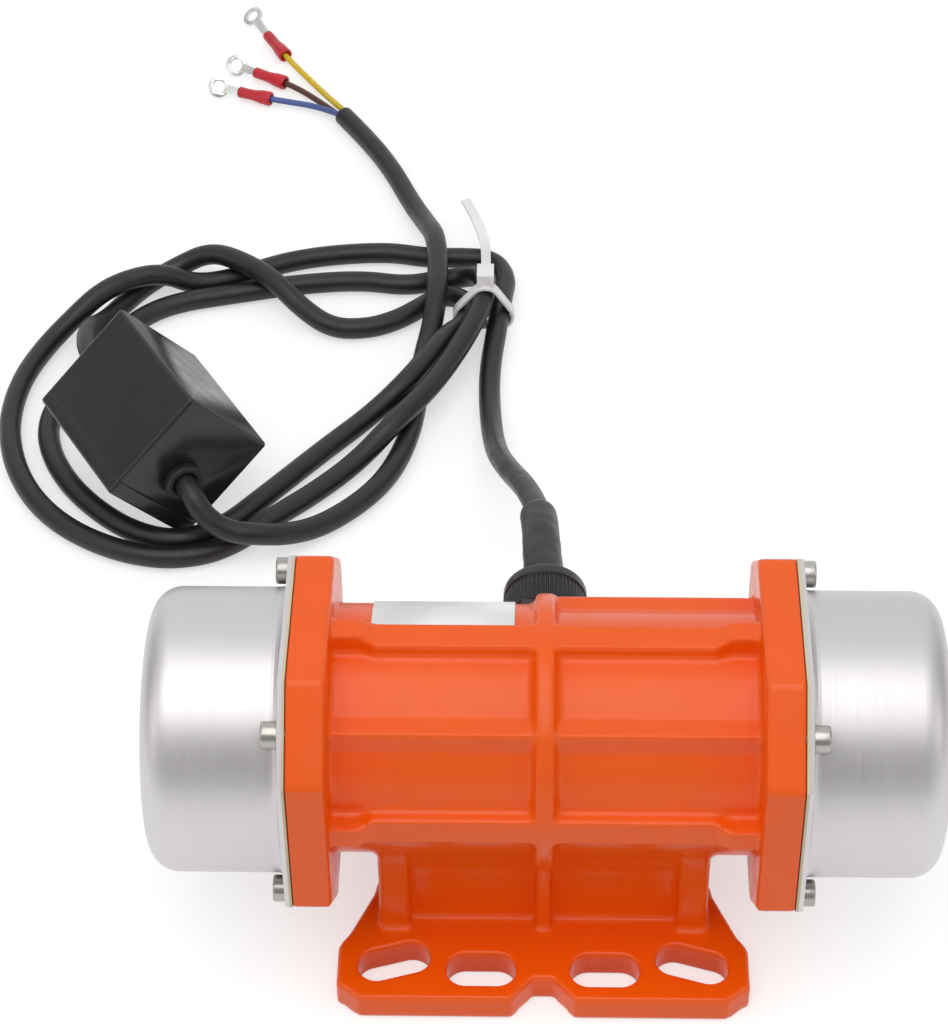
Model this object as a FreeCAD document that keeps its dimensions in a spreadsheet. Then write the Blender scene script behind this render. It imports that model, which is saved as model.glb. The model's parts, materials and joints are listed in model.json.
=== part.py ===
"""Rotary electric vibration motor with a capacitor box in its lead.

The motor's shaft runs along X, its foot stands on the plane z = 0 and the origin
lies on that plane, straight below the middle of the shaft.  All sizes are in mm.
"""
import FreeCAD, Part

import math
import os

import Sketcher
from FreeCAD import Placement, Rotation, Vector

doc = FreeCAD.newDocument("vibration_motor")

# ---------------------------------------------------------------------------
# Driving dimensions
# ---------------------------------------------------------------------------
SIZES = {
    # housing casting
    "overall_length": 244.0,
    "cover_length": 45.0,
    "axis_height": 72.0,
    "flange_width": 99.0,
    "flange_thickness": 12.0,
    "flange_corner_margin": 4.416892,
    "flange_facet_leg": "=flange_width - sqrt(2)*(cover_screw_radius + flange_corner_margin)",
    "flange_inner_face": "=flange_face - flange_thickness",
    "flange_face": "=overall_length/2 - cover_length",
    "barrel_radius": 38.0,
    "bore_radius": 33.0,
    "rib_width": 10.0,
    "rib_radius": 42.3,
    "rib_end_width": 7.5,
    "rib_end_radius": 45.0,
    "rib_step_start": "=flange_inner_face - 13.7",
    "rib_step_end": "=flange_inner_face - 9.2",
    "ridge_half_width": 6.4,
    "ridge_radius": 42.1,
    "ridge_crest": 0.6,
    "band_radius": 43.0,
    "band_crest_width": 5.0,
    "band_root_width": 8.4,
    "label_pad_radius": 39.6,
    "plate_margin": 11.7,
    "plate_band_gap": 9.4,
    "plate_length": "=flange_inner_face - plate_margin - plate_band_gap",
    # foot and web
    "foot_length": 130.0,
    "foot_width": 113.0,
    "foot_thickness": 10.0,
    "foot_corner_x": 7.5,
    "foot_corner_y": 6.0,
    "waist_length": 107.0,
    "waist_straight": 8.0,
    "notch_mouth": 20.2,
    "notch_floor": 6.4,
    "notch_depth": 8.5,
    "casting_edge": 1.2,
    "slot_spacing_x": 39.0,
    "slot_spacing_y": 89.2,
    "slot_length": 22.0,
    "slot_width": 12.5,
    "corner_slot_x": 47.0,
    "corner_slot_y": 41.6,
    "corner_slot_length": 23.3,
    "corner_slot_width": 12.0,
    "corner_slot_angle": 17.0,
    "web_thickness": 47.0,
    "web_length": 90.0,
    "web_flare": 46.0,
    "gusset_depth": 56.4,
    "gusset_flare": 34.7,
    "gusset_inner": 42.4,
    "gusset_outer": 52.0,
    "centre_rib_width": 4.6,
    # end shields
    "shield_seat_radius": 35.0,
    "shield_seat_start": "=flange_face - 19",
    "shield_rim_radius": 42.0,
    "shield_rim_thickness": 5.0,
    "shield_hub_radius": 26.0,
    "shield_screw_radius": 38.0,
    "shield_screw_size": 4.0,
    # bearings
    "bearing_start": "=shield_seat_start - 7",
    "bearing_width": 13.0,
    "bearing_bore": 15.0,
    "bearing_outside": 42.0,
    "ball_diameter": 7.9,
    "inner_land": 12.0,
    "outer_land": 16.7,
    "wave_washer_thickness": 0.5,
    # covers
    "gasket_thickness": 0.8,
    "cover_flange_thickness": 1.4,
    "cover_radius": 44.5,
    "cover_wall": 1.2,
    "cover_corner_radius": 9.0,
    "cover_root_radius": 3.0,
    "cover_screw_radius": 49.5,
    "cover_screw_size": 5.0,
    "cover_screw_depth": 10.0,
    # stator and rotor
    "stack_length": 50.0,
    "stator_bore": 17.5,
    "slot_count": 12.0,
    "winding_overhang": 11.0,
    "air_gap": 0.3,
    "rotor_seat": 10.0,
    "rotor_shoulder": 9.4,
    "cage_ring_length": 5.0,
    "bar_count": 14.0,
    # eccentric weights
    "spacer_radius": 10.5,
    "weight_start": "=flange_face + 3",
    "weight_thickness": 15.0,
    "weight_radius": 33.0,
    "weight_hub_radius": 14.0,
    "weight_gap": 0.4,
    "shaft_end": "=overall_length/2 - 3",
    "key_width": 5.0,
    "key_length": 12.0,
    "nut_width": 19.0,
    "nut_thickness": 6.0,
    "nut_thread": 12.0,
    "clamp_screw_size": 6.0,
    # cable gland
    "boss_radius": 12.5,
    "boss_face": 43.2,
    "gland_bore": 6.0,
    "gland_hex_width": 24.0,
    "gland_hex_end": 46.6,
    "gland_nut_end": 62.0,
    "gland_nut_radius": 13.6,
    "gland_nut_mouth": 6.8,
    # leads
    "lead_diameter": 8.3,
    "sleeve_diameter": 13.0,
    "core_diameter": 2.8,
    # capacitor box
    "case_length": 60.0,
    "case_depth": 46.0,
    "case_height": 44.6,
    "case_wall": 2.5,
    "case_corner": 1.5,
    "lid_thickness": 6.0,
    "case_yaw": -58.75,
    "case_roll": -141.1,
    "case_x": -144.4,
    "case_y": 190.9,
    "case_z": 31.4,
    "grommet_radius": 7.2,
    "grommet_depth": 3.5,
    "grommet_offset": 4.6,
    "far_entry_deep": 6.0,
    "far_entry_up": 10.0,
    "capacitor_radius": 15.0,
    "capacitor_length": 48.0,
    # ring terminals
    "terminal_sleeve_radius": 2.6,
    "terminal_sleeve_length": 18.0,
    "terminal_ring_radius": 4.6,
    "terminal_hole_radius": 2.65,
    "terminal_thickness": 0.9,
    # cable tie
    "tie_head_width": 6.6,
    "tie_head_length": 8.0,
    "tie_head_height": 6.2,
    # general fits
    "snug": 0.02,
    "running": 0.04,
}

sheet = doc.addObject("Spreadsheet::Sheet", "Sizes")
for row, alias in enumerate(SIZES, start=1):
    sheet.set("A%d" % row, alias)
    sheet.set("B%d" % row, "0")
    sheet.setAlias("B%d" % row, alias)
for row, value in enumerate(SIZES.values(), start=1):
    sheet.set("B%d" % row, str(value))
doc.recompute()


def size(alias):
    """The number that the sheet holds under an alias."""
    return float(getattr(sheet, alias))


# ---------------------------------------------------------------------------
# Modelling helpers
# ---------------------------------------------------------------------------
def term(text):
    """Turn an expression in plain aliases into one that reads the sheet."""
    words = []
    word = ""
    for letter in str(text) + " ":
        if letter.isalnum() or letter in "_.":
            word += letter
            continue
        words.append("Sizes." + word if word in SIZES else word)
        words.append(letter)
        word = ""
    return "".join(words).strip()


def bind(item, **formulas):
    """Bind an object's properties to formulas of the sheet."""
    for name, formula in formulas.items():
        item.setExpression(name, term(formula))


def place(item, x="0", y="0", z="0", turn=None):
    """Turn an object, then bind its place to formulas of the sheet."""
    if turn is not None:
        item.Placement = Placement(Vector(0, 0, 0), turn)
    item.setExpression("Placement.Base.x", term(x))
    item.setExpression("Placement.Base.y", term(y))
    item.setExpression("Placement.Base.z", term(z))
    return item


ALONG_X = Rotation(Vector(0, 1, 0), 90)
ALONG_Y = Rotation(Vector(1, 0, 0), -90)
ALONG_Z = Rotation()


def cylinder(name, radius, length, x="0", y="0", z="0", turn=ALONG_X):
    item = doc.addObject("Part::Cylinder", name)
    bind(item, Radius=radius, Height=length)
    return place(item, x, y, z, turn)


def box(name, length, width, height, x="0", y="0", z="0", turn=None):
    item = doc.addObject("Part::Box", name)
    bind(item, Length=length, Width=width, Height=height)
    return place(item, x, y, z, turn)


def fuse(name, *shapes):
    item = doc.addObject("Part::MultiFuse", name)
    item.Shapes = list(shapes)
    item.Refine = True
    return item


def cut(name, base, *tools):
    """Take one tool, or several fused ones, from a base."""
    item = doc.addObject("Part::Cut", name)
    item.Base = base
    item.Tool = tools[0] if len(tools) == 1 else fuse(name + "_tools", *tools)
    item.Refine = True
    return item


def mirror(name, source, normal):
    item = doc.addObject("Part::Mirroring", name)
    item.Source = source
    item.Normal = normal
    return item


def group(name, *shapes):
    """Several separate solids that share one node."""
    item = doc.addObject("Part::Compound", name)
    item.Links = list(shapes)
    return item


def prism(name, corners, length, start="0", plane="YZ", midplane=False):
    """A body padded from a polygon whose corners are formulas.

    A YZ polygon is padded along +X and an XY polygon along +Z.
    """
    body = doc.addObject("PartDesign::Body", name)
    sketch = polygon(body, name + "_outline", corners, plane)
    pad = body.newObject("PartDesign::Pad", name + "_pad")
    pad.Profile = sketch
    bind(pad, Length=length)
    pad.Midplane = midplane
    place(body, x=start) if plane == "YZ" else place(body, z=start)
    return body


def turned(name, corners):
    """A body turned about the X axis from a polygon of (x, radius) formulas."""
    body = doc.addObject("PartDesign::Body", name)
    sketch = polygon(body, name + "_section", corners, "XY")
    spin = body.newObject("PartDesign::Revolution", name + "_spin")
    spin.Profile = sketch
    spin.ReferenceAxis = (sketch, ["H_Axis"])
    spin.Angle = 360
    return body


def polygon(body, name, corners, plane):
    """A closed sketch with every corner dimensioned from the origin."""
    sketch = body.newObject("Sketcher::SketchObject", name)
    origin = [face for face in body.Origin.OriginFeatures if face.Role == plane + "_Plane"][0]
    sketch.AttachmentSupport = [(origin, "")]
    sketch.MapMode = "FlatFace"
    count = len(corners)
    spots = [Vector(math.cos(math.tau * i / count), math.sin(math.tau * i / count), 0)
             for i in range(count)]
    for i in range(count):
        sketch.addGeometry(Part.LineSegment(spots[i], spots[(i + 1) % count]), False)
    for i in range(count):
        sketch.addConstraint(Sketcher.Constraint("Coincident", i, 2, (i + 1) % count, 1))
    for i, (across, up) in enumerate(corners):
        for kind, value, formula in (("DistanceX", spots[i].x, across), ("DistanceY", spots[i].y, up)):
            index = sketch.addConstraint(Sketcher.Constraint(kind, -1, 1, i, 1, value))
            sketch.setExpression("Constraints[%d]" % index, term(formula))
    return sketch


nodes = []


def finished(name, item):
    """Give a finished sub-part the label that names its node."""
    item.Label = name
    nodes.append(item)
    return item


def both_sides(name, item):
    """Keep a right-hand sub-part and its mirror image on the left."""
    finished("right_" + name, item)
    finished("left_" + name, mirror("left_" + name + "_image", item, Vector(1, 0, 0)))


def around_axis(name, count, radius, make, first=0.0):
    """Copies of a piece set around the shaft axis, at an angle from +Y towards +Z."""
    made = []
    for i in range(count):
        angle = math.radians(first + 360.0 * i / count)
        y = "%s * %.9f" % (radius, math.cos(angle))
        z = "axis_height + %s * %.9f" % (radius, math.sin(angle))
        made.append(make("%s_%d" % (name, i), y, z))
    return made


FLANGE = [("-(flange_width/2 - flange_facet_leg)", "-flange_width/2"),
          ("flange_width/2 - flange_facet_leg", "-flange_width/2"),
          ("flange_width/2", "-(flange_width/2 - flange_facet_leg)"),
          ("flange_width/2", "flange_width/2 - flange_facet_leg"),
          ("flange_width/2 - flange_facet_leg", "flange_width/2"),
          ("-(flange_width/2 - flange_facet_leg)", "flange_width/2"),
          ("-flange_width/2", "flange_width/2 - flange_facet_leg"),
          ("-flange_width/2", "-(flange_width/2 - flange_facet_leg)")]


def flange_plate(name, start, thickness):
    """An eight-sided plate square to the shaft, centred on its axis."""
    plate = prism(name, FLANGE, thickness, start)
    place(plate, x=start, z="axis_height")
    return plate


# ---------------------------------------------------------------------------
# Housing casting
# ---------------------------------------------------------------------------
def stepped_rib(name, angle):
    """A rib along the barrel that turns narrower and higher near each flange."""
    wide, slim = "rib_width/2", "rib_end_width/2"
    plan = [("-flange_inner_face - 1", "-" + slim), ("-rib_step_end", "-" + slim),
            ("-rib_step_start", "-" + wide), ("rib_step_start", "-" + wide),
            ("rib_step_end", "-" + slim), ("flange_inner_face + 1", "-" + slim)]
    plan += [(x, y[1:]) for x, y in reversed(plan)]
    ends = [("-flange_inner_face - 1", "rib_end_radius"), ("-rib_step_end", "rib_end_radius"),
            ("-rib_step_start", "rib_radius"), ("rib_step_start", "rib_radius"),
            ("rib_step_end", "rib_end_radius"), ("flange_inner_face + 1", "rib_end_radius")]
    side = [(x, r) for x, r in reversed(ends)]
    side += [("-flange_inner_face - 1", "barrel_radius/2"), ("flange_inner_face + 1", "barrel_radius/2")]
    rib = doc.addObject("Part::Common", name + "_rib")
    rib.Base = prism(name + "_rib_plan", plan, "rib_end_radius + 2", plane="XY")
    rib.Tool = prism(name + "_rib_side", side, "2*rib_width", plane="XZ", midplane=True)
    return place(rib, "0", "0", "axis_height", Rotation(Vector(1, 0, 0), angle - 90))


def housing_ribs():
    """Straight ribs and roof-shaped ridges along the barrel."""
    made = [stepped_rib(name, angle) for name, angle in (("top", 90), ("front", 180), ("rear", 0))]
    roof = [("-ridge_half_width", "barrel_radius - 1.5"), ("ridge_half_width", "barrel_radius - 1.5"),
            ("ridge_crest/2", "ridge_radius"), ("-ridge_crest/2", "ridge_radius")]
    for name, angle, start, length in (("front", 135, "-flange_inner_face", "2*flange_inner_face"),
                                       ("rear", 45, "0", "flange_inner_face")):
        ridge = prism(name + "_ridge", roof, length)
        place(ridge, start, "0", "axis_height", Rotation(Vector(1, 0, 0), angle - 90))
        made.append(ridge)
    return made


def label_pad():
    """A raised piece of barrel, above and behind the left half, under the rating plate."""
    pad = cylinder("label_pad_round", "label_pad_radius", "flange_inner_face",
                   "-flange_inner_face", "0", "axis_height")
    keep = box("label_pad_reach", "flange_inner_face", "label_pad_radius", "label_pad_radius",
               "-flange_inner_face", "0", "axis_height")
    part = doc.addObject("Part::Common", "label_pad")
    part.Base = pad
    part.Tool = keep
    return part


def foot_plate():
    """The waisted base plate with a notch in the middle of each long side."""
    half_x = "foot_length/2"
    half_y = "foot_width/2"
    quarter = [("notch_floor/2", "-(%s - notch_depth)" % half_y),
               ("notch_mouth/2", "-" + half_y),
               ("%s - foot_corner_x" % half_x, "-" + half_y),
               (half_x, "-(%s - foot_corner_y)" % half_y),
               (half_x, "-(waist_straight + 28)"),
               ("%s - 0.8" % half_x, "-(waist_straight + 26)"),
               ("%s - 3.2" % half_x, "-(waist_straight + 22.5)"),
               ("waist_length/2 + 4.2", "-(waist_straight + 13)"),
               ("waist_length/2 + 1.2", "-(waist_straight + 6)"),
               ("waist_length/2", "-waist_straight")]
    corners = list(quarter)
    corners += [(x, "-(%s)" % y) for x, y in reversed(quarter)]
    corners += [("-(%s)" % x, "-(%s)" % y) for x, y in quarter]
    corners += [("-(%s)" % x, y) for x, y in reversed(quarter)]
    foot = prism("foot_plate", corners, "foot_thickness", plane="XY")
    soften(foot, "casting_edge", lambda box_: box_.ZMin > size("foot_thickness") - 0.01)
    return foot


def upright(name, half_depth, flare, start, length):
    """A wall between foot and barrel that sweeps into the barrel with a hollow curve.

    The hollow starts on the wall at the drop given below the shaft axis, and its radius is
    the one that also touches the barrel.
    """
    wall = "(%s)" % half_depth
    radius = ("((%s*%s + %s*%s - barrel_radius*barrel_radius)/(2*(barrel_radius - %s)))"
              % (wall, wall, flare, flare, wall))
    reach = math.atan2(size_of(flare), size_of(wall) + size_of(radius))
    hollow = [("%s + %s*%.6f" % (wall, radius, 1 - math.cos(turn)),
               "axis_height - %s + %s*%.6f" % (flare, radius, math.sin(turn)))
              for turn in (0.33 * reach, 0.66 * reach, reach)]
    side = [(wall + " + 2", "foot_thickness - 1"),
            (wall + " + 2", "foot_thickness"),
            (wall + " + 0.6", "foot_thickness + 0.6"),
            (wall, "foot_thickness + 2"),
            (wall, "axis_height - " + flare)] + hollow + [("barrel_radius/2", "axis_height - 12")]
    corners = side + [("-(%s)" % y, z) for y, z in reversed(side)]
    return prism(name, corners, length, start)


def size_of(formula):
    """The number that a formula of plain aliases comes to."""
    probe = doc.addObject("App::FeaturePython", "probe")
    probe.addProperty("App::PropertyFloat", "Number")
    probe.setExpression("Number", term(formula))
    doc.recompute()
    number = probe.Number
    doc.removeObject(probe.Name)
    return number


def slot(name, length, width, x, y, angle):
    """A through slot in the foot, turned by an angle in plan."""
    straight = "(%s - %s)" % (length, width)
    middle = box(name + "_middle", straight, width, "3*foot_thickness")
    lean = math.radians(angle)
    turn = Rotation(Vector(0, 0, 1), angle)
    c, s = math.cos(lean), math.sin(lean)
    place(middle, "%s - %s/2*%.9f + %s/2*%.9f" % (x, straight, c, width, s),
          "%s - %s/2*%.9f - %s/2*%.9f" % (y, straight, s, width, c), "-foot_thickness", turn)
    ends = [cylinder("%s_end_%d" % (name, sign), width + "/2", "3*foot_thickness",
                     "%s + %s/2*%.9f" % (x, straight, sign * c),
                     "%s + %s/2*%.9f" % (y, straight, sign * s), "-foot_thickness", ALONG_Z)
            for sign in (-1, 1)]
    return [middle] + ends


def motor_housing():
    barrel = cylinder("barrel", "barrel_radius", "2*flange_inner_face", "-flange_inner_face",
                      "0", "axis_height")
    band = turned("band", [("-band_root_width/2 - 1", "barrel_radius - 2"),
                           ("band_root_width/2 + 1", "barrel_radius - 2"),
                           ("band_root_width/2", "barrel_radius"),
                           ("band_crest_width/2", "band_radius"),
                           ("-band_crest_width/2", "band_radius"),
                           ("-band_root_width/2", "barrel_radius")])
    place(band, z="axis_height")
    flanges = [flange_plate("left_flange", "-flange_face", "flange_face - flange_inner_face"),
               flange_plate("right_flange", "flange_inner_face", "flange_face - flange_inner_face")]
    thickness = size("flange_face") - size("flange_inner_face")
    soften(flanges[0], "casting_edge", lambda box_: box_.XMin > thickness - 0.01)
    soften(flanges[1], "casting_edge", lambda box_: box_.XMax < 0.01)
    boss = cylinder("gland_boss", "boss_radius", "boss_face - barrel_radius/2",
                    "0", "barrel_radius/2", "axis_height", ALONG_Y)
    web = [upright("web_wall", "web_thickness/2", "web_flare", "-web_length/2", "web_length"),
           upright("left_gusset", "gusset_depth/2", "gusset_flare", "-gusset_outer",
                   "gusset_outer - gusset_inner"),
           upright("right_gusset", "gusset_depth/2", "gusset_flare", "gusset_inner",
                   "gusset_outer - gusset_inner"),
           upright("centre_rib", "gusset_depth/2", "gusset_flare", "-centre_rib_width/2",
                   "centre_rib_width")]
    solid = fuse("housing_blank", barrel, band, boss, label_pad(), foot_plate(),
                 *flanges, *web, *housing_ribs())
    tools = [cylinder("main_bore", "bore_radius", "2*flange_face", "-flange_face", "0", "axis_height"),
             cylinder("gland_hole", "gland_bore", "boss_face", "0", "barrel_radius/2",
                      "axis_height", ALONG_Y)]
    for name, start, deep in (("left", "-flange_face", "-shield_seat_start"),
                              ("right", "shield_seat_start", "flange_face")):
        tools.append(cylinder(name + "_shield_seat", "shield_seat_radius",
                              "flange_face - shield_seat_start", start, "0", "axis_height"))
        rim = "-flange_face" if name == "left" else "flange_face - shield_rim_thickness"
        tools.append(cylinder(name + "_rim_recess", "shield_rim_radius", "shield_rim_thickness",
                              rim, "0", "axis_height"))
        tapped = "-flange_face" if name == "left" else "flange_face - cover_screw_depth"
        tools += around_axis(name + "_tapped", 4, "cover_screw_radius",
                             lambda label, y, z: cylinder(label, "cover_screw_size/2 + snug",
                                                          "cover_screw_depth", tapped, y, z), 45)
        shallow = ("-(flange_face - shield_rim_thickness)" if name == "left"
                   else "flange_face - shield_rim_thickness - 6")
        tools += around_axis(name + "_shield_tapped", 4, "shield_screw_radius",
                             lambda label, y, z: cylinder(label, "shield_screw_size/2 + snug",
                                                          "6", shallow, y, z))
    for i, (sx, sy) in enumerate(((1, 1), (1, -1), (-1, 1), (-1, -1))):
        tools += slot("slot_%d" % i, "slot_length", "slot_width",
                      "%d*slot_spacing_x/2" % sx, "%d*slot_spacing_y/2" % sy, 0)
        tools += slot("corner_slot_%d" % i, "corner_slot_length", "corner_slot_width",
                      "%d*corner_slot_x" % sx, "%d*corner_slot_y" % sy,
                      sx * sy * size("corner_slot_angle"))
    finished("motor_housing", cut("housing_casting", solid, *tools))


# ---------------------------------------------------------------------------
# End shields and bearings
# ---------------------------------------------------------------------------
def end_shields():
    """Shields that carry the bearings, with their screws."""
    body = turned("shield_turning", [
        ("bearing_start - 2", "bearing_outside/2 + snug"),
        ("bearing_start - 2", "shield_hub_radius"),
        ("shield_seat_start + snug", "shield_hub_radius"),
        ("shield_seat_start + snug", "shield_seat_radius - snug"),
        ("flange_face - shield_rim_thickness + snug", "shield_seat_radius - snug"),
        ("flange_face - shield_rim_thickness + snug", "shield_rim_radius - snug"),
        ("flange_face", "shield_rim_radius - snug"),
        ("flange_face", "shield_rim_radius - 10"),
        ("flange_face - 4", "shield_rim_radius - 13"),
        ("flange_face - 4", "spacer_radius + 0.7"),
        ("bearing_start + bearing_width + wave_washer_thickness + snug", "spacer_radius + 0.7"),
        ("bearing_start + bearing_width + wave_washer_thickness + snug", "bearing_outside/2 + snug")])
    place(body, z="axis_height")
    holes = around_axis("shield_hole", 4, "shield_screw_radius",
                        lambda label, y, z: cylinder(label, "shield_screw_size/2 + 0.25", "20",
                                                     "flange_face - 10", y, z))
    both_sides("end_shield", cut("shield", body, *holes))
    screws = around_axis("shield_screw", 4, "shield_screw_radius",
                         lambda label, y, z: socket_screw(label, "shield_screw_size", "flange_face",
                                                          "10", y, z))
    both_sides("shield_screws", group("shield_screw_set", *screws))


def socket_screw(name, thread, seat, length, y, z):
    """A socket-head screw along X, its head outside the seat plane."""
    head = cylinder(name + "_head", "0.85*" + thread, thread, seat, y, z)
    shank = cylinder(name + "_shank", thread + "/2", length + " + 1", "%s - %s" % (seat, length), y, z)
    key = doc.addObject("Part::Prism", name + "_socket")
    key.Polygon = 6
    bind(key, Circumradius="0.46*" + thread, Height=thread)
    place(key, "%s + 0.45*%s" % (seat, thread), y, z, ALONG_X)
    return cut(name, fuse(name + "_blank", head, shank), key)


def bearings():
    """Deep-groove ball bearings: rings, balls and cages."""
    pitch = "(bearing_bore + bearing_outside)/4"
    middle = "bearing_start + bearing_width/2"

    def race(name, outer, inner):
        whole = cylinder(name + "_blank", outer, "bearing_width", "bearing_start", "0", "axis_height")
        bore = cylinder(name + "_bore", inner, "bearing_width + 2", "bearing_start - 1",
                        "0", "axis_height")
        track = doc.addObject("Part::Torus", name + "_track")
        bind(track, Radius1=pitch, Radius2="ball_diameter/2 + running")
        place(track, middle, "0", "axis_height", ALONG_X)
        return cut(name, whole, bore, track)

    both_sides("bearing_outer_ring", race("outer_race", "bearing_outside/2", "outer_land"))
    both_sides("bearing_inner_ring", race("inner_race", "inner_land", "bearing_bore/2 + snug/2"))

    def ball(label, y, z, radius="ball_diameter/2"):
        item = doc.addObject("Part::Sphere", label)
        bind(item, Radius=radius)
        return place(item, middle, y, z)

    both_sides("bearing_balls", group("ball_set", *around_axis("ball", 8, pitch, ball)))
    ring = cylinder("cage_ring", "%s + 0.95" % pitch, "9", middle + " - 4.5", "0", "axis_height")
    pockets = around_axis("cage_pocket", 8, pitch,
                          lambda label, y, z: ball(label, y, z, "ball_diameter/2 + 2*running"))
    hole = cylinder("cage_hole", "%s - 0.95" % pitch, "11", middle + " - 5.5", "0", "axis_height")
    both_sides("ball_cage", cut("ball_cage", ring, hole, *pockets))
    washer = cylinder("washer_blank", "bearing_outside/2 - 0.2", "wave_washer_thickness",
                      "bearing_start + bearing_width + snug/2", "0", "axis_height")
    opening = cylinder("washer_opening", "outer_land + 0.6", "4", "bearing_start + bearing_width - 1",
                       "0", "axis_height")
    finished("preload_washer", cut("washer", washer, opening))


# ---------------------------------------------------------------------------
# Stator and rotor
# ---------------------------------------------------------------------------
def spokes(name, count, inner, outer, width, length):
    """Radial blocks round the shaft axis, centred along it."""
    made = []
    for i in range(count):
        angle = 360.0 * i / count
        lift = math.radians(angle)
        block = box("%s_%d" % (name, i), length, width, "%s - %s" % (outer, inner))
        place(block, "-(%s)/2" % length,
              "-%s*%.9f - %s/2*%.9f" % (inner, math.sin(lift), width, math.cos(lift)),
              "axis_height + %s*%.9f - %s/2*%.9f" % (inner, math.cos(lift), width, math.sin(lift)),
              Rotation(Vector(1, 0, 0), angle))
        made.append(block)
    return made


def on_axis(name, radius, length, start):
    return cylinder(name, radius, length, start, "0", "axis_height")


def stator():
    """Laminated core with its winding."""
    count = int(size("slot_count"))
    core = on_axis("stator_blank", "bore_radius - snug", "stack_length", "-stack_length/2")
    bore = on_axis("stator_opening", "stator_bore", "stack_length + 2", "-stack_length/2 - 1")
    slots = spokes("stator_slot", count, "(stator_bore - 2)", "(bore_radius - 5.5)", "4.6",
                   "stack_length + 2")
    finished("stator_core", cut("stator", core, bore, *slots))
    bars = spokes("coil_side", count, "(stator_bore + 1.5)", "(bore_radius - 5.7)", "4.4",
                  "stack_length + 4")
    rings = []
    for side, start in (("left", "-stack_length/2 - 0.3 - winding_overhang"),
                        ("right", "stack_length/2 + 0.3")):
        ring = on_axis(side + "_coil_end", "bore_radius - 3", "winding_overhang", start)
        hole = on_axis(side + "_coil_hole", "stator_bore + 1.5", "winding_overhang + 2", start + " - 1")
        rings.append(cut(side + "_coil_ring", ring, hole))
    finished("stator_winding", fuse("winding", *bars, *rings))


def rotor():
    """Shaft, laminated rotor and its cast cage."""
    count = int(size("bar_count"))
    half = [("stack_length/2 + 3", "rotor_seat"),
            ("stack_length/2 + 3", "rotor_shoulder"),
            ("bearing_start", "rotor_shoulder"),
            ("bearing_start", "bearing_bore/2"),
            ("shaft_end - 8.2", "bearing_bore/2"),
            ("shaft_end - 8.2", "nut_thread/2"),
            ("shaft_end - 0.8", "nut_thread/2"),
            ("shaft_end", "nut_thread/2 - 0.8")]
    section = [("-(%s)" % x, r) for x, r in reversed(half)] + half
    section = [("-(shaft_end)", "0")] + section + [("shaft_end", "0")]
    shaft = turned("shaft_turning", section)
    place(shaft, z="axis_height")
    keyways = [key("%s_keyway" % side, side, "snug/2") for side in ("left", "right")]
    finished("rotor_shaft", cut("shaft", shaft, *keyways))
    core = on_axis("rotor_blank", "stator_bore - air_gap", "stack_length", "-stack_length/2")
    bore = on_axis("rotor_bore", "rotor_seat + snug/2", "stack_length + 2", "-stack_length/2 - 1")

    def bars(prefix, radius, length):
        return around_axis(prefix, count, "(stator_bore - 2.6)",
                           lambda label, y, z: cylinder(label, radius, length,
                                                        "-(%s)/2" % length, y, z))

    finished("rotor_core", cut("rotor_stack", core, bore, *bars("bar_hole", "1.22", "stack_length + 2")))
    rings = []
    for side, start in (("left", "-stack_length/2 - cage_ring_length"), ("right", "stack_length/2")):
        ring = on_axis(side + "_cage_end", "stator_bore - air_gap - 0.5", "cage_ring_length", start)
        hole = on_axis(side + "_cage_hole", "rotor_seat + 1.6", "cage_ring_length + 2", start + " - 1")
        rings.append(cut(side + "_cage_ring", ring, hole))
    finished("rotor_cage", fuse("squirrel_cage", *bars("cage_bar", "1.2", "stack_length + 2"), *rings))


def key(name, side, extra="0"):
    """The parallel key between shaft and fixed weight, on the upper side of the shaft."""
    start = "weight_start + 1.5" if side == "right" else "-(weight_start + 1.5 + key_length)"
    return box(name, "key_length + 2*(%s)" % extra, "key_width + 2*(%s)" % extra, "key_width",
               "%s - (%s)" % (start, extra), "-key_width/2 - (%s)" % extra,
               "axis_height + bearing_bore/2 - key_width/2 - (%s)" % extra)


def weight_blank(name, start, bore, hub_start, hub_radius):
    """A half disc under the shaft with a round hub on it."""
    disc = on_axis(name + "_disc", "weight_radius", "weight_thickness", start)
    disc.Angle = 180
    disc.Placement.Rotation = Rotation(Vector(1, 0, 0), -90).multiply(ALONG_X)
    hub = on_axis(name + "_hub", "weight_hub_radius", "weight_thickness", start)
    nose = on_axis(name + "_nose", hub_radius, "%s + weight_thickness - (%s)" % (start, hub_start),
                   hub_start)
    hole = on_axis(name + "_bore", bore, "3*weight_thickness + 20", "%s - weight_thickness - 10" % start)
    return fuse(name + "_blank", disc, hub, nose), hole


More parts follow.
